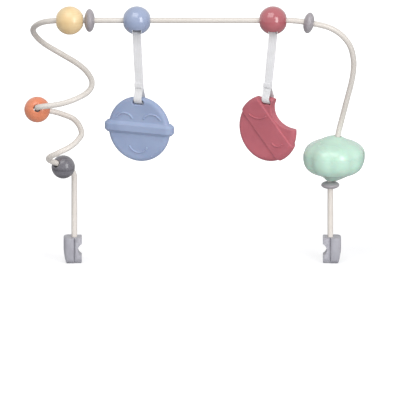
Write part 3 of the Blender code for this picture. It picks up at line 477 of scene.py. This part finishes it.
def circle_run(centre, radius, start, stop, count):
    """Places along part of a circle, seen edge on."""
    angles = [start + (stop - start) * step / count for step in range(count + 1)]
    return [Vector((centre[0] + radius * math.cos(a), centre[1] + radius * math.sin(a))) for a in angles]


def web_route():
    """Middle line of the webbing seen edge on: turned-over tail, round the toy, round the wire and back."""
    pin = Vector((0, -HINGE_DROP))
    front, back = Vector((-1.5 * PLY_PITCH, LAP_LOW)), Vector((PLY_PITCH / 2, LAP_LOW))
    leave, meet = (math.atan2(*(ply - pin).yx) + side * math.acos(RIM_LOOP_RADIUS / (ply - pin).length)
                   for ply, side in ((front, 1), (back, -1)))
    turn_in = -POCKET_RADIUS
    turn_over = LAP_HIGH - PLY_PITCH / 2
    route = [Vector((front.x - PLY_PITCH, turn_over - FOLD_LENGTH * (1 - step / 5))) for step in range(5)]
    route += circle_run((front.x - PLY_PITCH / 2, turn_over), PLY_PITCH / 2, math.pi, 0, 10)
    route += [Vector((front.x, turn_over)).lerp(front, step / 8) for step in range(1, 8)]
    route += [front] + circle_run(pin, RIM_LOOP_RADIUS, leave, meet + math.tau, 40)
    route += [back.lerp(Vector((back.x, turn_in)), step / 60) for step in range(61)]
    route += circle_run((0, 0), WIRE_LOOP_RADIUS, -math.pi / 6, math.pi * 7 / 6, 32)
    route += [Vector((-PLY_PITCH / 2, turn_in)).lerp(Vector((-PLY_PITCH / 2, LAP_LOW)), step / 60)
              for step in range(61)]
    return route


def hung(point, across, shift, yaw):
    """Where a point of the flat strap comes to hang: turned and led across on its way down to the toy."""
    share = min(max((-point.z - TWIST_START) / (TWIST_END - TWIST_START), 0), 1)
    ease = share * share * (3 - 2 * share)
    turned = Matrix.Rotation(yaw * ease, 3, "Z") @ point
    return turned + Vector((across + shift * share, -RAIL_REACH, RAIL_HEIGHT))


def webbing(name, across, shift, yaw):
    """A flat band laid along the route, with a map in metres across and along it."""
    route = web_route()
    runs = [0.0]
    for start, end in zip(route, route[1:]):
        runs.append(runs[-1] + (end - start).length)
    band = bmesh.new()
    bmesh.ops.create_grid(band, x_segments=8, y_segments=len(route) - 1, size=0.5)
    flat_map = band.loops.layers.uv.new("UVMap")
    for face in band.faces:
        for loop in face.loops:
            row = round((loop.vert.co.y + 0.5) * (len(route) - 1))
            loop[flat_map].uv = ((loop.vert.co.x + 0.5) * WEB_WIDTH, runs[row])
    for vert in band.verts:
        row = round((vert.co.y + 0.5) * (len(route) - 1))
        flat = Vector((vert.co.x * WEB_WIDTH, route[row].x, route[row].y))
        vert.co = hung(flat, across, shift, yaw)
    return meshed(name, band)


def stitch_box(name, across, shift, yaw):
    """Thread that shows on both faces of the lap: a sewn box, one short stitch after another."""
    inset = WEB_WIDTH / 2 - STITCH_INSET
    low, high = LAP_HIGH - FOLD_LENGTH + STITCH_ABOVE_TAIL, LAP_HIGH - STITCH_BELOW_FOLD
    corners = [Vector((-inset, low)), Vector((inset, low)), Vector((inset, high)), Vector((-inset, high))]
    sides = list(zip(corners, corners[1:] + corners[:1])) + [(corners[0], corners[2])]
    face = WEB_THICKNESS / 2 + THREAD_RADIUS * 0.2
    thread = bmesh.new()
    for depth in (-2.5 * PLY_PITCH - face, PLY_PITCH / 2 + face):
        for start, end in sides:
            run = (end - start).length
            count = max(1, round(run / STITCH_LENGTH))
            stretch = run / count / THREAD_RADIUS * STITCH_SHARE / 2
            lean = Matrix.Rotation(-math.atan2(*(end - start).yx), 3, "Y")
            for number in range(count):
                middle = start.lerp(end, (number + 0.5) / count)
                stitch = bmesh.ops.create_uvsphere(thread, u_segments=8, v_segments=8,
                                                   radius=THREAD_RADIUS)["verts"]
                bmesh.ops.scale(thread, vec=(stretch, 1, 1), verts=stitch)
                bmesh.ops.rotate(thread, matrix=lean, verts=stitch)
                bmesh.ops.translate(thread, vec=(middle.x, depth, middle.y), verts=stitch)
    for vert in thread.verts:
        vert.co = hung(vert.co, across, shift, yaw)
    return cast(name, thread, 80)


def web_finish():
    """White webbing: fine warp and weft, broad ribs along it, and painted shade inside the ball."""
    made = bpy.data.materials.new("white_webbing")
    made.use_nodes = True
    tree = made.node_tree
    shader = tree.nodes["Principled BSDF"]
    flat = fit(tree, "ShaderNodeUVMap").outputs["UV"]
    threads = fit(tree, "ShaderNodeMapping", None, {"Vector": flat, "Scale": (1250.0, 1250.0, 1.0)})
    across, along, _ = fit(tree, "ShaderNodeSeparateXYZ", None,
                           {"Vector": threads.outputs["Vector"]}).outputs
    warp = reckon(tree, "SINE", reckon(tree, "MULTIPLY", across, math.tau))
    half_step = reckon(tree, "MULTIPLY", reckon(tree, "FLOOR", across), 0.5)
    weft = reckon(tree, "SINE", reckon(tree, "MULTIPLY", reckon(tree, "ADD", along, half_step), math.tau))
    level = ramp(tree, reckon(tree, "MULTIPLY_ADD", warp, 0.7, weft), -1.7, 1.7)
    furrow = ramp(tree, reckon(tree, "SINE", reckon(tree, "MULTIPLY", across, math.tau / 3)),
                  -0.4, -1.0, 0.0, 0.35)
    drawn_out = fit(tree, "ShaderNodeMapping", None, {"Vector": flat, "Scale": (9000.0, 1500.0, 1.0)})
    fibres = noise(tree, drawn_out.outputs["Vector"], 1.0, 2.0).outputs["Fac"]
    place = fit(tree, "ShaderNodeTexCoord").outputs["Object"]
    soil = ramp(tree, noise(tree, place, 70.0, 3.0).outputs["Fac"], 0.45, 0.8, 0.0, 0.35)
    up = fit(tree, "ShaderNodeSeparateXYZ", None, {"Vector": place}).outputs["Z"]
    # Painted shade: the webbing greys towards its top, where it runs up into the ball's slot
    painted_shade = ramp(tree, up, RAIL_HEIGHT - PAINTED_SHADE_START, RAIL_HEIGHT - PAINTED_SHADE_END, 0.0, 0.8)
    cloth = blend(tree, level, paint(233, 233, 236), paint(252, 252, 253))
    ribbed = blend(tree, furrow, cloth, paint(216, 216, 220))
    aged = blend(tree, soil, ribbed, paint(226, 224, 222))
    woven = reckon(tree, "MULTIPLY_ADD", fibres, 0.3, level)
    height = reckon(tree, "MULTIPLY_ADD", furrow, -1.2, woven)
    relief = fit(tree, "ShaderNodeBump", None, {"Height": height, "Distance": 0.00018})
    tree.links.new(blend(tree, painted_shade, aged, paint(128, 130, 138)), shader.inputs["Base Color"])
    tree.links.new(ramp(tree, level, 0.0, 1.0, 0.92, 0.74), shader.inputs["Roughness"])
    tree.links.new(relief.outputs["Normal"], shader.inputs["Normal"])
    shader.inputs["Sheen Weight"].default_value = 0.25
    shader.inputs["Sheen Roughness"].default_value = 0.4
    return made


white_webbing = web_finish()
sewing_thread = skin("sewing_thread", (248, 247, 248), (236, 235, 238), (252, 252, 252),
                     (400.0, 5200.0, 0.62, 0.10, 0.0), 0.0, 0.00006, Sheen_Weight=0.2)
for colour, hang in STRAPS.items():
    strap = mount(f"{colour}_webbing", webbing(f"{colour}_webbing", *hang), white_webbing,
                  f"{colour}_strap_body", "strap_webbing", f"{colour}_strap")
    thicken = strap.modifiers.new("Thickness", "SOLIDIFY")
    thicken.thickness = WEB_THICKNESS
    thicken.offset = 0
    roll = strap.modifiers.new("Selvedge", "BEVEL")
    roll.width = SELVEDGE_ROUND
    roll.segments = 3
    roll.limit_method = "ANGLE"
    roll.angle_limit = math.radians(60)
    mount(f"{colour}_stitches", stitch_box(f"{colour}_stitches", *hang), sewing_thread,
          f"{colour}_strap_body", "strap_webbing")


# The two toys are solid silicone, moulded in one shot with a fine matt texture. One is a ball-like disc with
# a belt all round it, the other a disc with a bite out and a raised band. Edges and roots are soft.
TOY_RADIUS = 0.04625
TOY_THICKNESS = 0.012
TOY_DROP = 0.044
RIM_BAR = 0.0045
TOY_SLOT_HEIGHT = 0.0064
TOY_SLOT_CORNER = 0.0017
BLUE_SLOT_LENGTH = 0.0172
BLUE_SLOT_LIP = 0.0011
RED_SLOT_LENGTH = 0.0145
TOY_EDGE_ROUND = 0.0015
RIDGE_RADIUS = 0.0013
BELT_LENGTH = 0.104
BELT_DEPTH = 0.0205
BELT_HEIGHT = 0.0165
BELT_ROUND = 0.0038
BELT_RISE = 0.0015
BAND_WIDTH = 0.032
BAND_OFFSET = 0.0022
BAND_RISE = 0.0019
BAND_TILT = math.radians(-47.8)
BAND_LIP = 0.0004
BITE_CENTRE = (0.042, 0.031)
BITE_HALF_SIZE = (0.034, 0.027)
SILICONE_GRID = 0.00052
BLUE_RIDGES = ((-0.437, 0.338, 0.506, 0.143), (0.460, 0.356, 0.553, 0.143), (0.016, -0.545, 0.560, -0.164))
RED_RIDGES = ((-0.268, 0.410, 0.592, -0.089), (0.424, -0.396, 0.348, -0.078))


def slab(size, corner, middle):
    """A block with its upright edges rounded, about a middle."""
    block = bmesh.new()
    bmesh.ops.create_cube(block, size=1)
    bmesh.ops.scale(block, vec=size, verts=block.verts)
    upright = [edge for edge in block.edges if abs((edge.verts[0].co - edge.verts[1].co).z) > size[2] / 2]
    bmesh.ops.bevel(block, geom=upright, offset=corner, segments=6, profile=0.5, affect="EDGES", material=-1)
    bmesh.ops.translate(block, vec=middle, verts=block.verts)
    return block


def round_disc(radius, half_thickness, rounding):
    """A disc about Z with a full round rim."""
    return cast("disc", bored_bead(radius - rounding, rounding, half_thickness, half_thickness, 0, 0.0001))


def oval_post(half_size, centre, height):
    """An upright oval post, about a centre."""
    post = bmesh.new()
    bmesh.ops.create_cone(post, cap_ends=True, segments=96, radius1=1, radius2=1, depth=height)
    bmesh.ops.scale(post, vec=(*half_size, 1), verts=post.verts)
    bmesh.ops.translate(post, vec=(*centre, 0), verts=post.verts)
    return cast("post", post)


def belt_ring():
    """A belt with round ends, its long edges rolled over."""
    run = (BELT_LENGTH - BELT_DEPTH) / 2
    ring = bmesh.new()
    bmesh.ops.create_circle(ring, cap_ends=True, segments=64, radius=BELT_DEPTH / 2)
    for vert in ring.verts:
        vert.co.x += math.copysign(run, vert.co.x)
    deepened(ring, (0, 0, BELT_HEIGHT))
    bmesh.ops.recalc_face_normals(ring, faces=ring.faces)
    rims = [edge for edge in ring.edges if abs(edge.verts[0].co.z - edge.verts[1].co.z) < 0.0001]
    bmesh.ops.bevel(ring, geom=rims, offset=BELT_ROUND, segments=1, profile=0.5, affect="EDGES", material=-1)
    bmesh.ops.rotate(ring, matrix=Matrix.Rotation(math.pi / 2, 3, "X"), verts=ring.verts)
    bmesh.ops.translate(ring, vec=(0, BELT_RISE, 0), verts=ring.verts)
    return cast("belt", ring)


def moulded(name, *meshes):
    """Run closed shapes together into one soft-edged silicone body."""
    body = bmesh.new()
    for mesh in meshes:
        body.from_mesh(mesh)
    work = bpy.data.objects.new("work", cast(name, body))
    flow = work.modifiers.new("Flow", "REMESH")
    flow.mode = "VOXEL"
    flow.voxel_size = SILICONE_GRID
    soften = work.modifiers.new("Soften", "SMOOTH")
    soften.factor = 0.5
    soften.iterations = 4
    return settled(name, work)


def ridge_line(shares, face):
    """A raised line with round ends: centre across, chord height, width and rise as toy radius shares."""
    across, up, width, rise = (share * TOY_RADIUS for share in shares)
    sweep = 2 * math.atan2(2 * rise, width)
    bend = width / 2 / math.sin(sweep)
    line = bmesh.new()
    end = bmesh.ops.create_uvsphere(line, u_segments=16, v_segments=12, radius=RIDGE_RADIUS)["verts"]
    ring = bmesh.ops.create_circle(line, cap_ends=True, segments=16, radius=RIDGE_RADIUS)["verts"]
    bmesh.ops.rotate(line, matrix=Matrix.Rotation(math.pi / 2, 3, "Y"), verts=ring)
    moved(line, Matrix.Rotation(sweep, 4, "Z") @ Matrix.Translation((0, bend, 0)))
    start = [part for part in line.faces if all(vert in ring for vert in part.verts)]
    bmesh.ops.spin(line, geom=start, axis=(0, 0, 1), angle=-2 * sweep, steps=28)
    far = bmesh.ops.duplicate(line, geom=[face for face in line.faces if all(v in end for v in face.verts)])
    turned = [part for part in far["geom"] if isinstance(part, bmesh.types.BMVert)]
    bmesh.ops.rotate(line, matrix=Matrix.Rotation(-2 * sweep, 3, "Z"), verts=turned)
    bmesh.ops.translate(line, vec=(across, up + rise - bend, face), verts=line.verts)
    return cast("ridge", line, 60)


def toy_piece(name, body, ridges, finish, colour):
    """Add the raised lines to a moulded body and hang it on its strap, turned as the strap is."""
    across, shift, yaw = STRAPS[colour]
    hinge = Vector((across + shift, -RAIL_REACH, RAIL_HEIGHT - HINGE_DROP))
    face_out = Matrix.Rotation(yaw, 4, "Z") @ Matrix.Rotation(math.pi / 2, 4, "X")
    stand = Matrix.Translation(hinge) @ face_out @ Matrix.Translation((0, -TOY_DROP, 0))
    whole = bmesh.new()
    whole.from_mesh(body)
    for ridge in ridges:
        whole.from_mesh(ridge)
    mesh = meshed(name, moved(whole, stand))
    mount(name, mesh, finish, f"{colour}_toy_body", f"{colour}_silicone", f"{colour}_toy")


def strap_slot(length):
    """The rounded slot under the rim bar that the strap goes through."""
    middle = (0, TOY_DROP - (RIM_BAR + TOY_SLOT_HEIGHT) / 2, 0)
    return cast("slot", slab((length, TOY_SLOT_HEIGHT, 3 * TOY_THICKNESS), TOY_SLOT_CORNER, middle))


silicone_feel = dict(Subsurface_Weight=0.08, Subsurface_Scale=0.004)
# The silicone's strong pale edges are part wear, part painted highlight
blue_silicone = skin("blue_silicone_skin", (160, 175, 206), (149, 164, 197), (204, 216, 238),
                     (24.0, 4200.0, 0.5, 0.10, 0.25), 0.9, 0.00006, **silicone_feel)
red_silicone = skin("red_silicone_skin", (192, 105, 116), (179, 95, 106), (216, 136, 146),
                    (24.0, 4200.0, 0.5, 0.10, 0.25), 0.7, 0.00006, **silicone_feel)

blue_disc = carve(round_disc(TOY_RADIUS, TOY_THICKNESS / 2, TOY_THICKNESS / 2), strap_slot(BLUE_SLOT_LENGTH))
blue_body = moulded("blue_body", eased(blue_disc, BLUE_SLOT_LIP), belt_ring())
toy_piece("blue_belted_toy", blue_body, [ridge_line(shares, TOY_THICKNESS / 2) for shares in BLUE_RIDGES],
          blue_silicone, "blue")

red_disc = carve(round_disc(TOY_RADIUS, TOY_THICKNESS / 2, TOY_THICKNESS / 2), strap_slot(RED_SLOT_LENGTH))
red_disc = carve(red_disc, oval_post(BITE_HALF_SIZE, BITE_CENTRE, 3 * TOY_THICKNESS))
strip = slab((4 * TOY_RADIUS, BAND_WIDTH, 3 * TOY_THICKNESS), TOY_EDGE_ROUND, (0, BAND_OFFSET, 0))
bmesh.ops.rotate(strip, matrix=Matrix.Rotation(BAND_TILT, 3, "Z"), verts=strip.verts)
band_face = TOY_THICKNESS / 2 + BAND_RISE
band = carve(round_disc(TOY_RADIUS + BAND_RISE, band_face, band_face), cast("strip", strip), "INTERSECT")
red_body = moulded("red_body", eased(red_disc, TOY_EDGE_ROUND / 2), eased(band, BAND_LIP))
toy_piece("red_bitten_toy", red_body, [ridge_line(shares, band_face) for shares in RED_RIDGES],
          red_silicone, "red")


# The large lobed bead is moulded in glossy plastic as two shells, welded round the belly. Its body stands
# level; the bore slants through it, and a soft boss at each end follows the bore.
LOBED_SPOT = Vector((0.18443, 0, 0.12978))
LOBED_TILT = math.radians(9.4)
LOBED_HALF_WIDTH = 0.0440
LOBED_HALF_HEIGHT = 0.032
UPPER_HEIGHT = 0.0238
LOWER_HEIGHT = 0.0294
UPPER_FULLNESS = 0.93
LOWER_FULLNESS = 0.77
BELLY_RISE = 0.0041
LOBE_COUNT = 8
LOBE_DEPTH_SHARE = 0.050
LOBE_PHASE = math.radians(-95)
BOSS_RADIUS = 0.0245
BOSS_END_RADIUS = 0.0071
LOBED_BORE_RADIUS = 0.0049
WELD_GAP = 0.00004


def lobed_shape():
    """The lobed bead about its bore along Z, from a ball whose points move out to the lobes and bosses."""
    shape = bmesh.new()
    bmesh.ops.create_uvsphere(shape, u_segments=LOBE_COUNT * 24, v_segments=96, radius=1)
    for vert in shape.verts:
        side = math.copysign(1, vert.co.z)
        tall, full = (UPPER_HEIGHT, UPPER_FULLNESS) if side > 0 else (LOWER_HEIGHT, LOWER_FULLNESS)
        flat = math.hypot(vert.co.x, vert.co.y)
        angle = math.atan2(vert.co.y, vert.co.x)
        crease = ((1 + math.cos(LOBE_COUNT * angle)) / 2) ** 2
        radius = LOBED_HALF_WIDTH * flat**full * (1 - LOBE_DEPTH_SHARE * crease * flat)
        near = min(max((BOSS_RADIUS - radius) / (BOSS_RADIUS - BOSS_END_RADIUS), 0), 1)
        near = near * near * (3 - near) / 2
        boss = LOBED_HALF_HEIGHT - tall - side * BELLY_RISE
        rise = abs(vert.co.z) ** full + (1 - abs(vert.co.z) ** full) * near
        along = Vector((radius, 0, BELLY_RISE + side * (tall * rise + boss * near)))
        along.rotate(Matrix.Rotation(angle + LOBE_PHASE, 3, "Z"))
        vert.co = (Matrix.Rotation(-LOBED_TILT, 3, "Y") @ along).lerp(along, near)
    bore = [vert for vert in shape.verts if math.hypot(vert.co.x, vert.co.y) < LOBED_BORE_RADIUS]
    bmesh.ops.delete(shape, geom=bore, context="VERTS")
    rims = [edge for edge in shape.edges if edge.is_boundary]
    for vert in {vert for edge in rims for vert in edge.verts}:
        vert.co.xy *= LOBED_BORE_RADIUS / vert.co.xy.length
    bmesh.ops.bridge_loops(shape, edges=rims)
    return moved(shape, Matrix.Translation(LOBED_SPOT) @ Matrix.Rotation(LOBED_TILT, 4, "Y"))


mint_gloss = skin("mint_gloss_shell", (198, 232, 215), (190, 225, 206), (226, 244, 235),
                  (22.0, 500.0, 0.24, 0.10, 0.4), 0.3, 0.00001, Coat_Weight=0.6, Coat_Roughness=0.19,
                  Subsurface_Weight=0.15, Subsurface_Scale=0.006)
for half, side in (("upper", 1), ("lower", -1)):
    name = f"mint_{half}_shell"
    shape = lobed_shape()
    bmesh.ops.bisect_plane(shape, geom=shape.verts[:] + shape.edges[:] + shape.faces[:],
                           plane_co=(0, 0, LOBED_SPOT.z + BELLY_RISE + side * WELD_GAP / 2),
                           plane_no=(0, 0, -side), clear_outer=True)
    bmesh.ops.bridge_loops(shape, edges=[edge for edge in shape.edges if edge.is_boundary])
    mount(name, cast(name, shape, 50), mint_gloss, "mint_bead_body", "mint_gloss", f"mint_bead_{half}")


# Each end of the wire is held in a clip of two satin plastic mouldings, screwed together from inside. A
# rounded seat in the inner one hooks on to the chair's arm; the outer one is full and rounded off below.
LEG_X = 0.1792
CLIP_OUTER_WIDTH = 0.0150
CLIP_INNER_WIDTH = 0.0105
CLIP_DEPTH = 0.027
CLIP_TOP = 0.0173
CLIP_BOTTOM = 0.0194
CLIP_SEAM_GAP = 0.00006
CLIP_FIT = 0.0003
OUTER_DRAW_IN = 0.0042
OUTER_DRAW_START = -0.006
OUTER_FRONT_ROUNDS = (0, 0, 0.0022, 0.009, 0.0012)
OUTER_PLAN_ROUNDS = (0.0044, 0.0080, 0.0080, 0.0044)
OUTER_EASE = 0.0009
INNER_SET_BACK = 0.0014
INNER_FRONT_ROUNDS = (0, 0, 0.0024, 0.0012)
INNER_PLAN_ROUNDS = (0.0014, 0.0038, 0.0038, 0.0014)
INNER_EASE = 0.0007
FOOT_RISE = 0.0050
FOOT_REACH = 0.0046
FOOT_ROUNDS = (0, 0, 0.003, 0.0015, 0.0015, 0.003)
SEAT_RADIUS = 0.010
SEAT_DEPTH = 0.0055
WIRE_SEAT_FOOT = 0.0035
SCREW_HEIGHTS = (("upper", 0.0128), ("lower", -0.0145))
SCREW_HOLE_RADIUS = 0.0017
SCREW_HOLE_END = 0.0083
HEAD_RADIUS = 0.0028
HEAD_DEPTH = 0.0022


def plate(outline, roundings, depth, turn):
    """A plate drawn flat, each corner rounded by its own size, then turned to face forwards or sideways."""
    blank = bmesh.new()
    verts = [blank.verts.new((x, y, 0)) for x, y in outline]
    blank.faces.new(verts)
    for vert, rounding in zip(verts, roundings):
        if rounding:
            bmesh.ops.bevel(blank, geom=[vert], offset=rounding, segments=8, profile=0.5,
                            affect="VERTICES", material=-1)
    deepened(blank, (0, 0, depth))
    return cast("plate", moved(blank, turn))


LYING = Matrix.Identity(4)
FORWARD = Matrix.Rotation(math.pi / 2, 4, "X")
SIDEWAYS = Matrix.Rotation(math.pi / 2, 4, "Z") @ FORWARD


def rod(radius, start, end, steps=32):
    """A round cutter between two places."""
    start, end = Vector(start), Vector(end)
    bar = bmesh.new()
    bmesh.ops.create_cone(bar, cap_ends=True, segments=steps, radius1=radius, radius2=radius,
                          depth=(end - start).length)
    return cast("rod", moved(bar, threaded((start + end) / 2, end - start)))


def foot_rounded(body, half_deep):
    """Round a moulding's lower edge off towards the front and the back."""
    foot = plate([(-half_deep, CLIP_TOP), (half_deep, CLIP_TOP), (half_deep, FOOT_RISE - CLIP_BOTTOM),
                  (half_deep - FOOT_REACH, -CLIP_BOTTOM), (FOOT_REACH - half_deep, -CLIP_BOTTOM),
                  (-half_deep, FOOT_RISE - CLIP_BOTTOM)], FOOT_ROUNDS, 4 * CLIP_OUTER_WIDTH, SIDEWAYS)
    return carve(body, foot, "INTERSECT")


def clip_outer():
    """The outer moulding, drawn for the right-hand clip about the leg and mirrored for the left."""
    top, bottom, wide, half_deep = CLIP_TOP, -CLIP_BOTTOM, CLIP_OUTER_WIDTH, CLIP_DEPTH / 2
    seam = CLIP_SEAM_GAP / 2
    front = plate([(seam, bottom), (seam, top), (wide, top), (wide, OUTER_DRAW_START),
                   (wide - OUTER_DRAW_IN, bottom)], OUTER_FRONT_ROUNDS, 2 * CLIP_DEPTH, FORWARD)
    plan = plate([(seam, -half_deep), (wide, -half_deep), (wide, half_deep), (seam, half_deep)],
                 OUTER_PLAN_ROUNDS, 4 * CLIP_BOTTOM, LYING)
    return foot_rounded(carve(plan, front, "INTERSECT"), half_deep)


def clip_inner():
    """The inner moulding with its arm seat, one step shallower than the outer one."""
    top, bottom, half_deep = CLIP_TOP, -CLIP_BOTTOM, CLIP_DEPTH / 2 - INNER_SET_BACK
    seam, wide = -CLIP_SEAM_GAP / 2, -CLIP_INNER_WIDTH
    front = plate([(seam, top), (seam, bottom), (wide, bottom), (wide, top)], INNER_FRONT_ROUNDS,
                  2 * CLIP_DEPTH, FORWARD)
    plan = plate([(wide, -half_deep), (seam, -half_deep), (seam, half_deep), (wide, half_deep)],
                 INNER_PLAN_ROUNDS, 4 * CLIP_BOTTOM, LYING)
    body = foot_rounded(carve(plan, front, "INTERSECT"), half_deep)
    seat_x = wide - (SEAT_RADIUS - SEAT_DEPTH)
    return carve(body, rod(SEAT_RADIUS, (seat_x, -CLIP_DEPTH, 0), (seat_x, CLIP_DEPTH, 0), 64))


def set_in_place(name, mesh, stand):
    """Move a finished mesh to where it belongs on the bar."""
    shape = bmesh.new()
    shape.from_mesh(mesh)
    return cast(name, moved(shape, stand), 50)


clip_satin = skin("clip_satin", (175, 175, 183), (162, 161, 170), (202, 201, 208),
                  (48.0, 2600.0, 0.40, 0.12, 0.6), 0.5, 0.00005)
for hand, side in (("left", -1), ("right", 1)):
    stand = Matrix.Translation((side * LEG_X, 0, 0)) @ Matrix.Diagonal((side, 1, 1, 1))
    for half, make, ease in (("outer", clip_outer, OUTER_EASE), ("inner", clip_inner, INNER_EASE)):
        name = f"{hand}_{half}_moulding"
        body = carve(make(), rod(WIRE_RADIUS + CLIP_FIT, (0, 0, WIRE_SEAT_FOOT), (0, 0, 2 * CLIP_TOP)))
        for _, height in SCREW_HEIGHTS:
            outside = (-2 * CLIP_INNER_WIDTH, 0, height)
            body = carve(body, rod(SCREW_HOLE_RADIUS, outside, (SCREW_HOLE_END, 0, height)))
            if half == "inner":
                body = carve(body, rod(HEAD_RADIUS + CLIP_FIT, outside,
                                       (HEAD_DEPTH + CLIP_FIT - CLIP_INNER_WIDTH, 0, height)))
        mount(name, set_in_place(name, eased(body, ease, 3, 40), stand), clip_satin, "frame",
              "clip_plastic", f"{hand}_clip_{half}")


# Two pan-head screws a side draw the mouldings together through the wire. Zinc-plated steel with a cross
# recess, run in flush with the inner face.
SHANK_RADIUS = 0.0014
SCREW_LENGTH = 0.0185
RECESS_WIDTH = 0.0007
RECESS_DEPTH = 0.0012
HEAD_ROUND = 0.0006
TIP_TRIM = 0.001
SCREW_EASE = 0.00012


def screw_shape():
    """A screw along Z, its head on top at zero."""
    shape = bmesh.new()
    outline = ((0, 0), (HEAD_RADIUS - HEAD_ROUND, 0), (HEAD_RADIUS, -HEAD_ROUND), (HEAD_RADIUS, -HEAD_DEPTH),
               (SHANK_RADIUS, -HEAD_DEPTH), (SHANK_RADIUS, TIP_TRIM - SCREW_LENGTH), (0, -SCREW_LENGTH))
    verts = [shape.verts.new((radius, 0, height)) for radius, height in outline]
    edges = [shape.edges.new(pair) for pair in zip(verts, verts[1:])]
    bmesh.ops.spin(shape, geom=verts + edges, axis=(0, 0, 1), angle=math.tau, steps=32, use_merge=True)
    mesh = cast("screw", shape)
    for turn in (0, math.pi / 2):
        arm = bmesh.new()
        bmesh.ops.create_cube(arm, size=1)
        bmesh.ops.scale(arm, vec=(HEAD_RADIUS * 1.25, RECESS_WIDTH, 2 * RECESS_DEPTH), verts=arm.verts)
        bmesh.ops.rotate(arm, matrix=Matrix.Rotation(turn, 3, "Z"), verts=arm.verts)
        mesh = carve(mesh, cast("arm", arm))
    return eased(mesh, SCREW_EASE, 2, 40)


zinc = skin("zinc_plate", (196, 196, 200), (176, 176, 182), (226, 226, 230),
            (300.0, 6000.0, 0.34, 0.2, 0.8), 0.6, 0.00002, Metallic=1.0)
for hand, side in (("left", -1), ("right", 1)):
    for level, height in SCREW_HEIGHTS:
        name = f"{hand}_{level}_pan_screw"
        stand = threaded((side * (LEG_X - CLIP_INNER_WIDTH), 0, height), (-side, 0, 0))
        mount(name, set_in_place(name, screw_shape(), stand), zinc, "frame", "screw_steel",
              f"{hand}_{level}_screw")


# The studio: a pale paper floor that fades out to white, and a white surround. A broad soft light stands
# above on the left, a tall window light at the front right, and a low one in front lifts the shadows.
FLOOR_LEVEL = -0.0196
FLOOR_REACH = 3.0
FADE_START = 0.30
FADE_END = 0.75
METRES_A_PIXEL = 0.0014
PICTURE_MIDDLE = 200
PLUMB_COLUMN = 202.3
GROUND_ROW = 248.5
CAMERA_LIFT = math.radians(13)

floor = bmesh.new()
bmesh.ops.create_grid(floor, x_segments=1, y_segments=1, size=FLOOR_REACH)
bmesh.ops.translate(floor, vec=(0, 0, FLOOR_LEVEL), verts=floor.verts)
paper_floor = bpy.data.objects.new("paper_floor", cast("paper_floor", floor))
bpy.context.scene.collection.objects.link(paper_floor)

paper = bpy.data.materials.new("pale_paper")
paper.use_nodes = True
tree = paper.node_tree
shader = tree.nodes["Principled BSDF"]
shader.inputs["Base Color"].default_value = paint(196, 196, 198)
shader.inputs["Roughness"].default_value = 0.9
shader.inputs["Specular IOR Level"].default_value = 0.0
shader.inputs["Emission Color"].default_value = (1, 1, 1, 1)
from_middle = fit(tree, "ShaderNodeVectorMath", {"operation": "LENGTH"},
                  {0: fit(tree, "ShaderNodeTexCoord").outputs["Object"]}).outputs["Value"]
fade = fit(tree, "ShaderNodeMapRange", {"interpolation_type": "SMOOTHSTEP"},
           {"Value": from_middle, "From Min": FADE_START, "From Max": FADE_END, "To Min": 0.62})
glow = reckon(tree, "MULTIPLY", fade.outputs["Result"],
              fit(tree, "ShaderNodeLightPath").outputs["Is Camera Ray"])
tree.links.new(glow, shader.inputs["Emission Strength"])
paper_floor.data.materials.append(paper)

world = bpy.data.worlds.new("studio")
bpy.context.scene.world = world
world.use_nodes = True
tree = world.node_tree
rays = fit(tree, "ShaderNodeLightPath").outputs
seen = reckon(tree, "MAXIMUM", rays["Is Camera Ray"], reckon(tree, "MULTIPLY", rays["Is Glossy Ray"], 0.75))
background = tree.nodes["Background"]
background.inputs["Color"].default_value = (1, 1, 1, 1)
tree.links.new(ramp(tree, seen, 0.0, 1.0, 0.46, 1.0), background.inputs["Strength"])


def lamp(name, size, azimuth, elevation, distance, watts, aim=(0, 0, 0.17), spread=180):
    """A soft panel that looks at the toy bar from a bearing and a height."""
    data = bpy.data.lights.new(name, "AREA")
    data.shape = "RECTANGLE"
    data.size, data.size_y = size
    data.energy = watts
    data.spread = math.radians(spread)
    made = bpy.data.objects.new(name, data)
    bpy.context.scene.collection.objects.link(made)
    turn, lift = math.radians(azimuth), math.radians(elevation)
    back = Vector((math.sin(turn) * math.cos(lift), -math.cos(turn) * math.cos(lift), math.sin(lift)))
    made.location = Vector(aim) + back * distance
    made.rotation_mode = "QUATERNION"
    made.rotation_quaternion = back.to_track_quat("Z", "Y")
    return made


lamp("window", (0.62, 1.2), 34, 20, 1.7, 10.8)
lamp("overhead", (1.5, 1.25), -25, 58, 2.0, 14.2)
lamp("low_fill", (1.3, 0.3), 4, 3, 1.2, 0.46, (0, 0, 0.0), 26).visible_glossy = False

scene = bpy.context.scene
scene.view_settings.view_transform = "Standard"
camera = bpy.data.cameras.new("camera")
camera.type = "ORTHO"
camera.ortho_scale = 2 * PICTURE_MIDDLE * METRES_A_PIXEL
camera.clip_start, camera.clip_end = 0.1, 20.0
eye = bpy.data.objects.new("camera", camera)
scene.collection.objects.link(eye)
centre = Vector(((PICTURE_MIDDLE - PLUMB_COLUMN) * METRES_A_PIXEL, 0,
                 (GROUND_ROW - PICTURE_MIDDLE) * METRES_A_PIXEL / math.cos(CAMERA_LIFT)))
eye.location = centre + Vector((0, -math.cos(CAMERA_LIFT), math.sin(CAMERA_LIFT))) * 2
eye.rotation_euler = (math.pi / 2 - CAMERA_LIFT, 0, 0)
scene.camera = eye
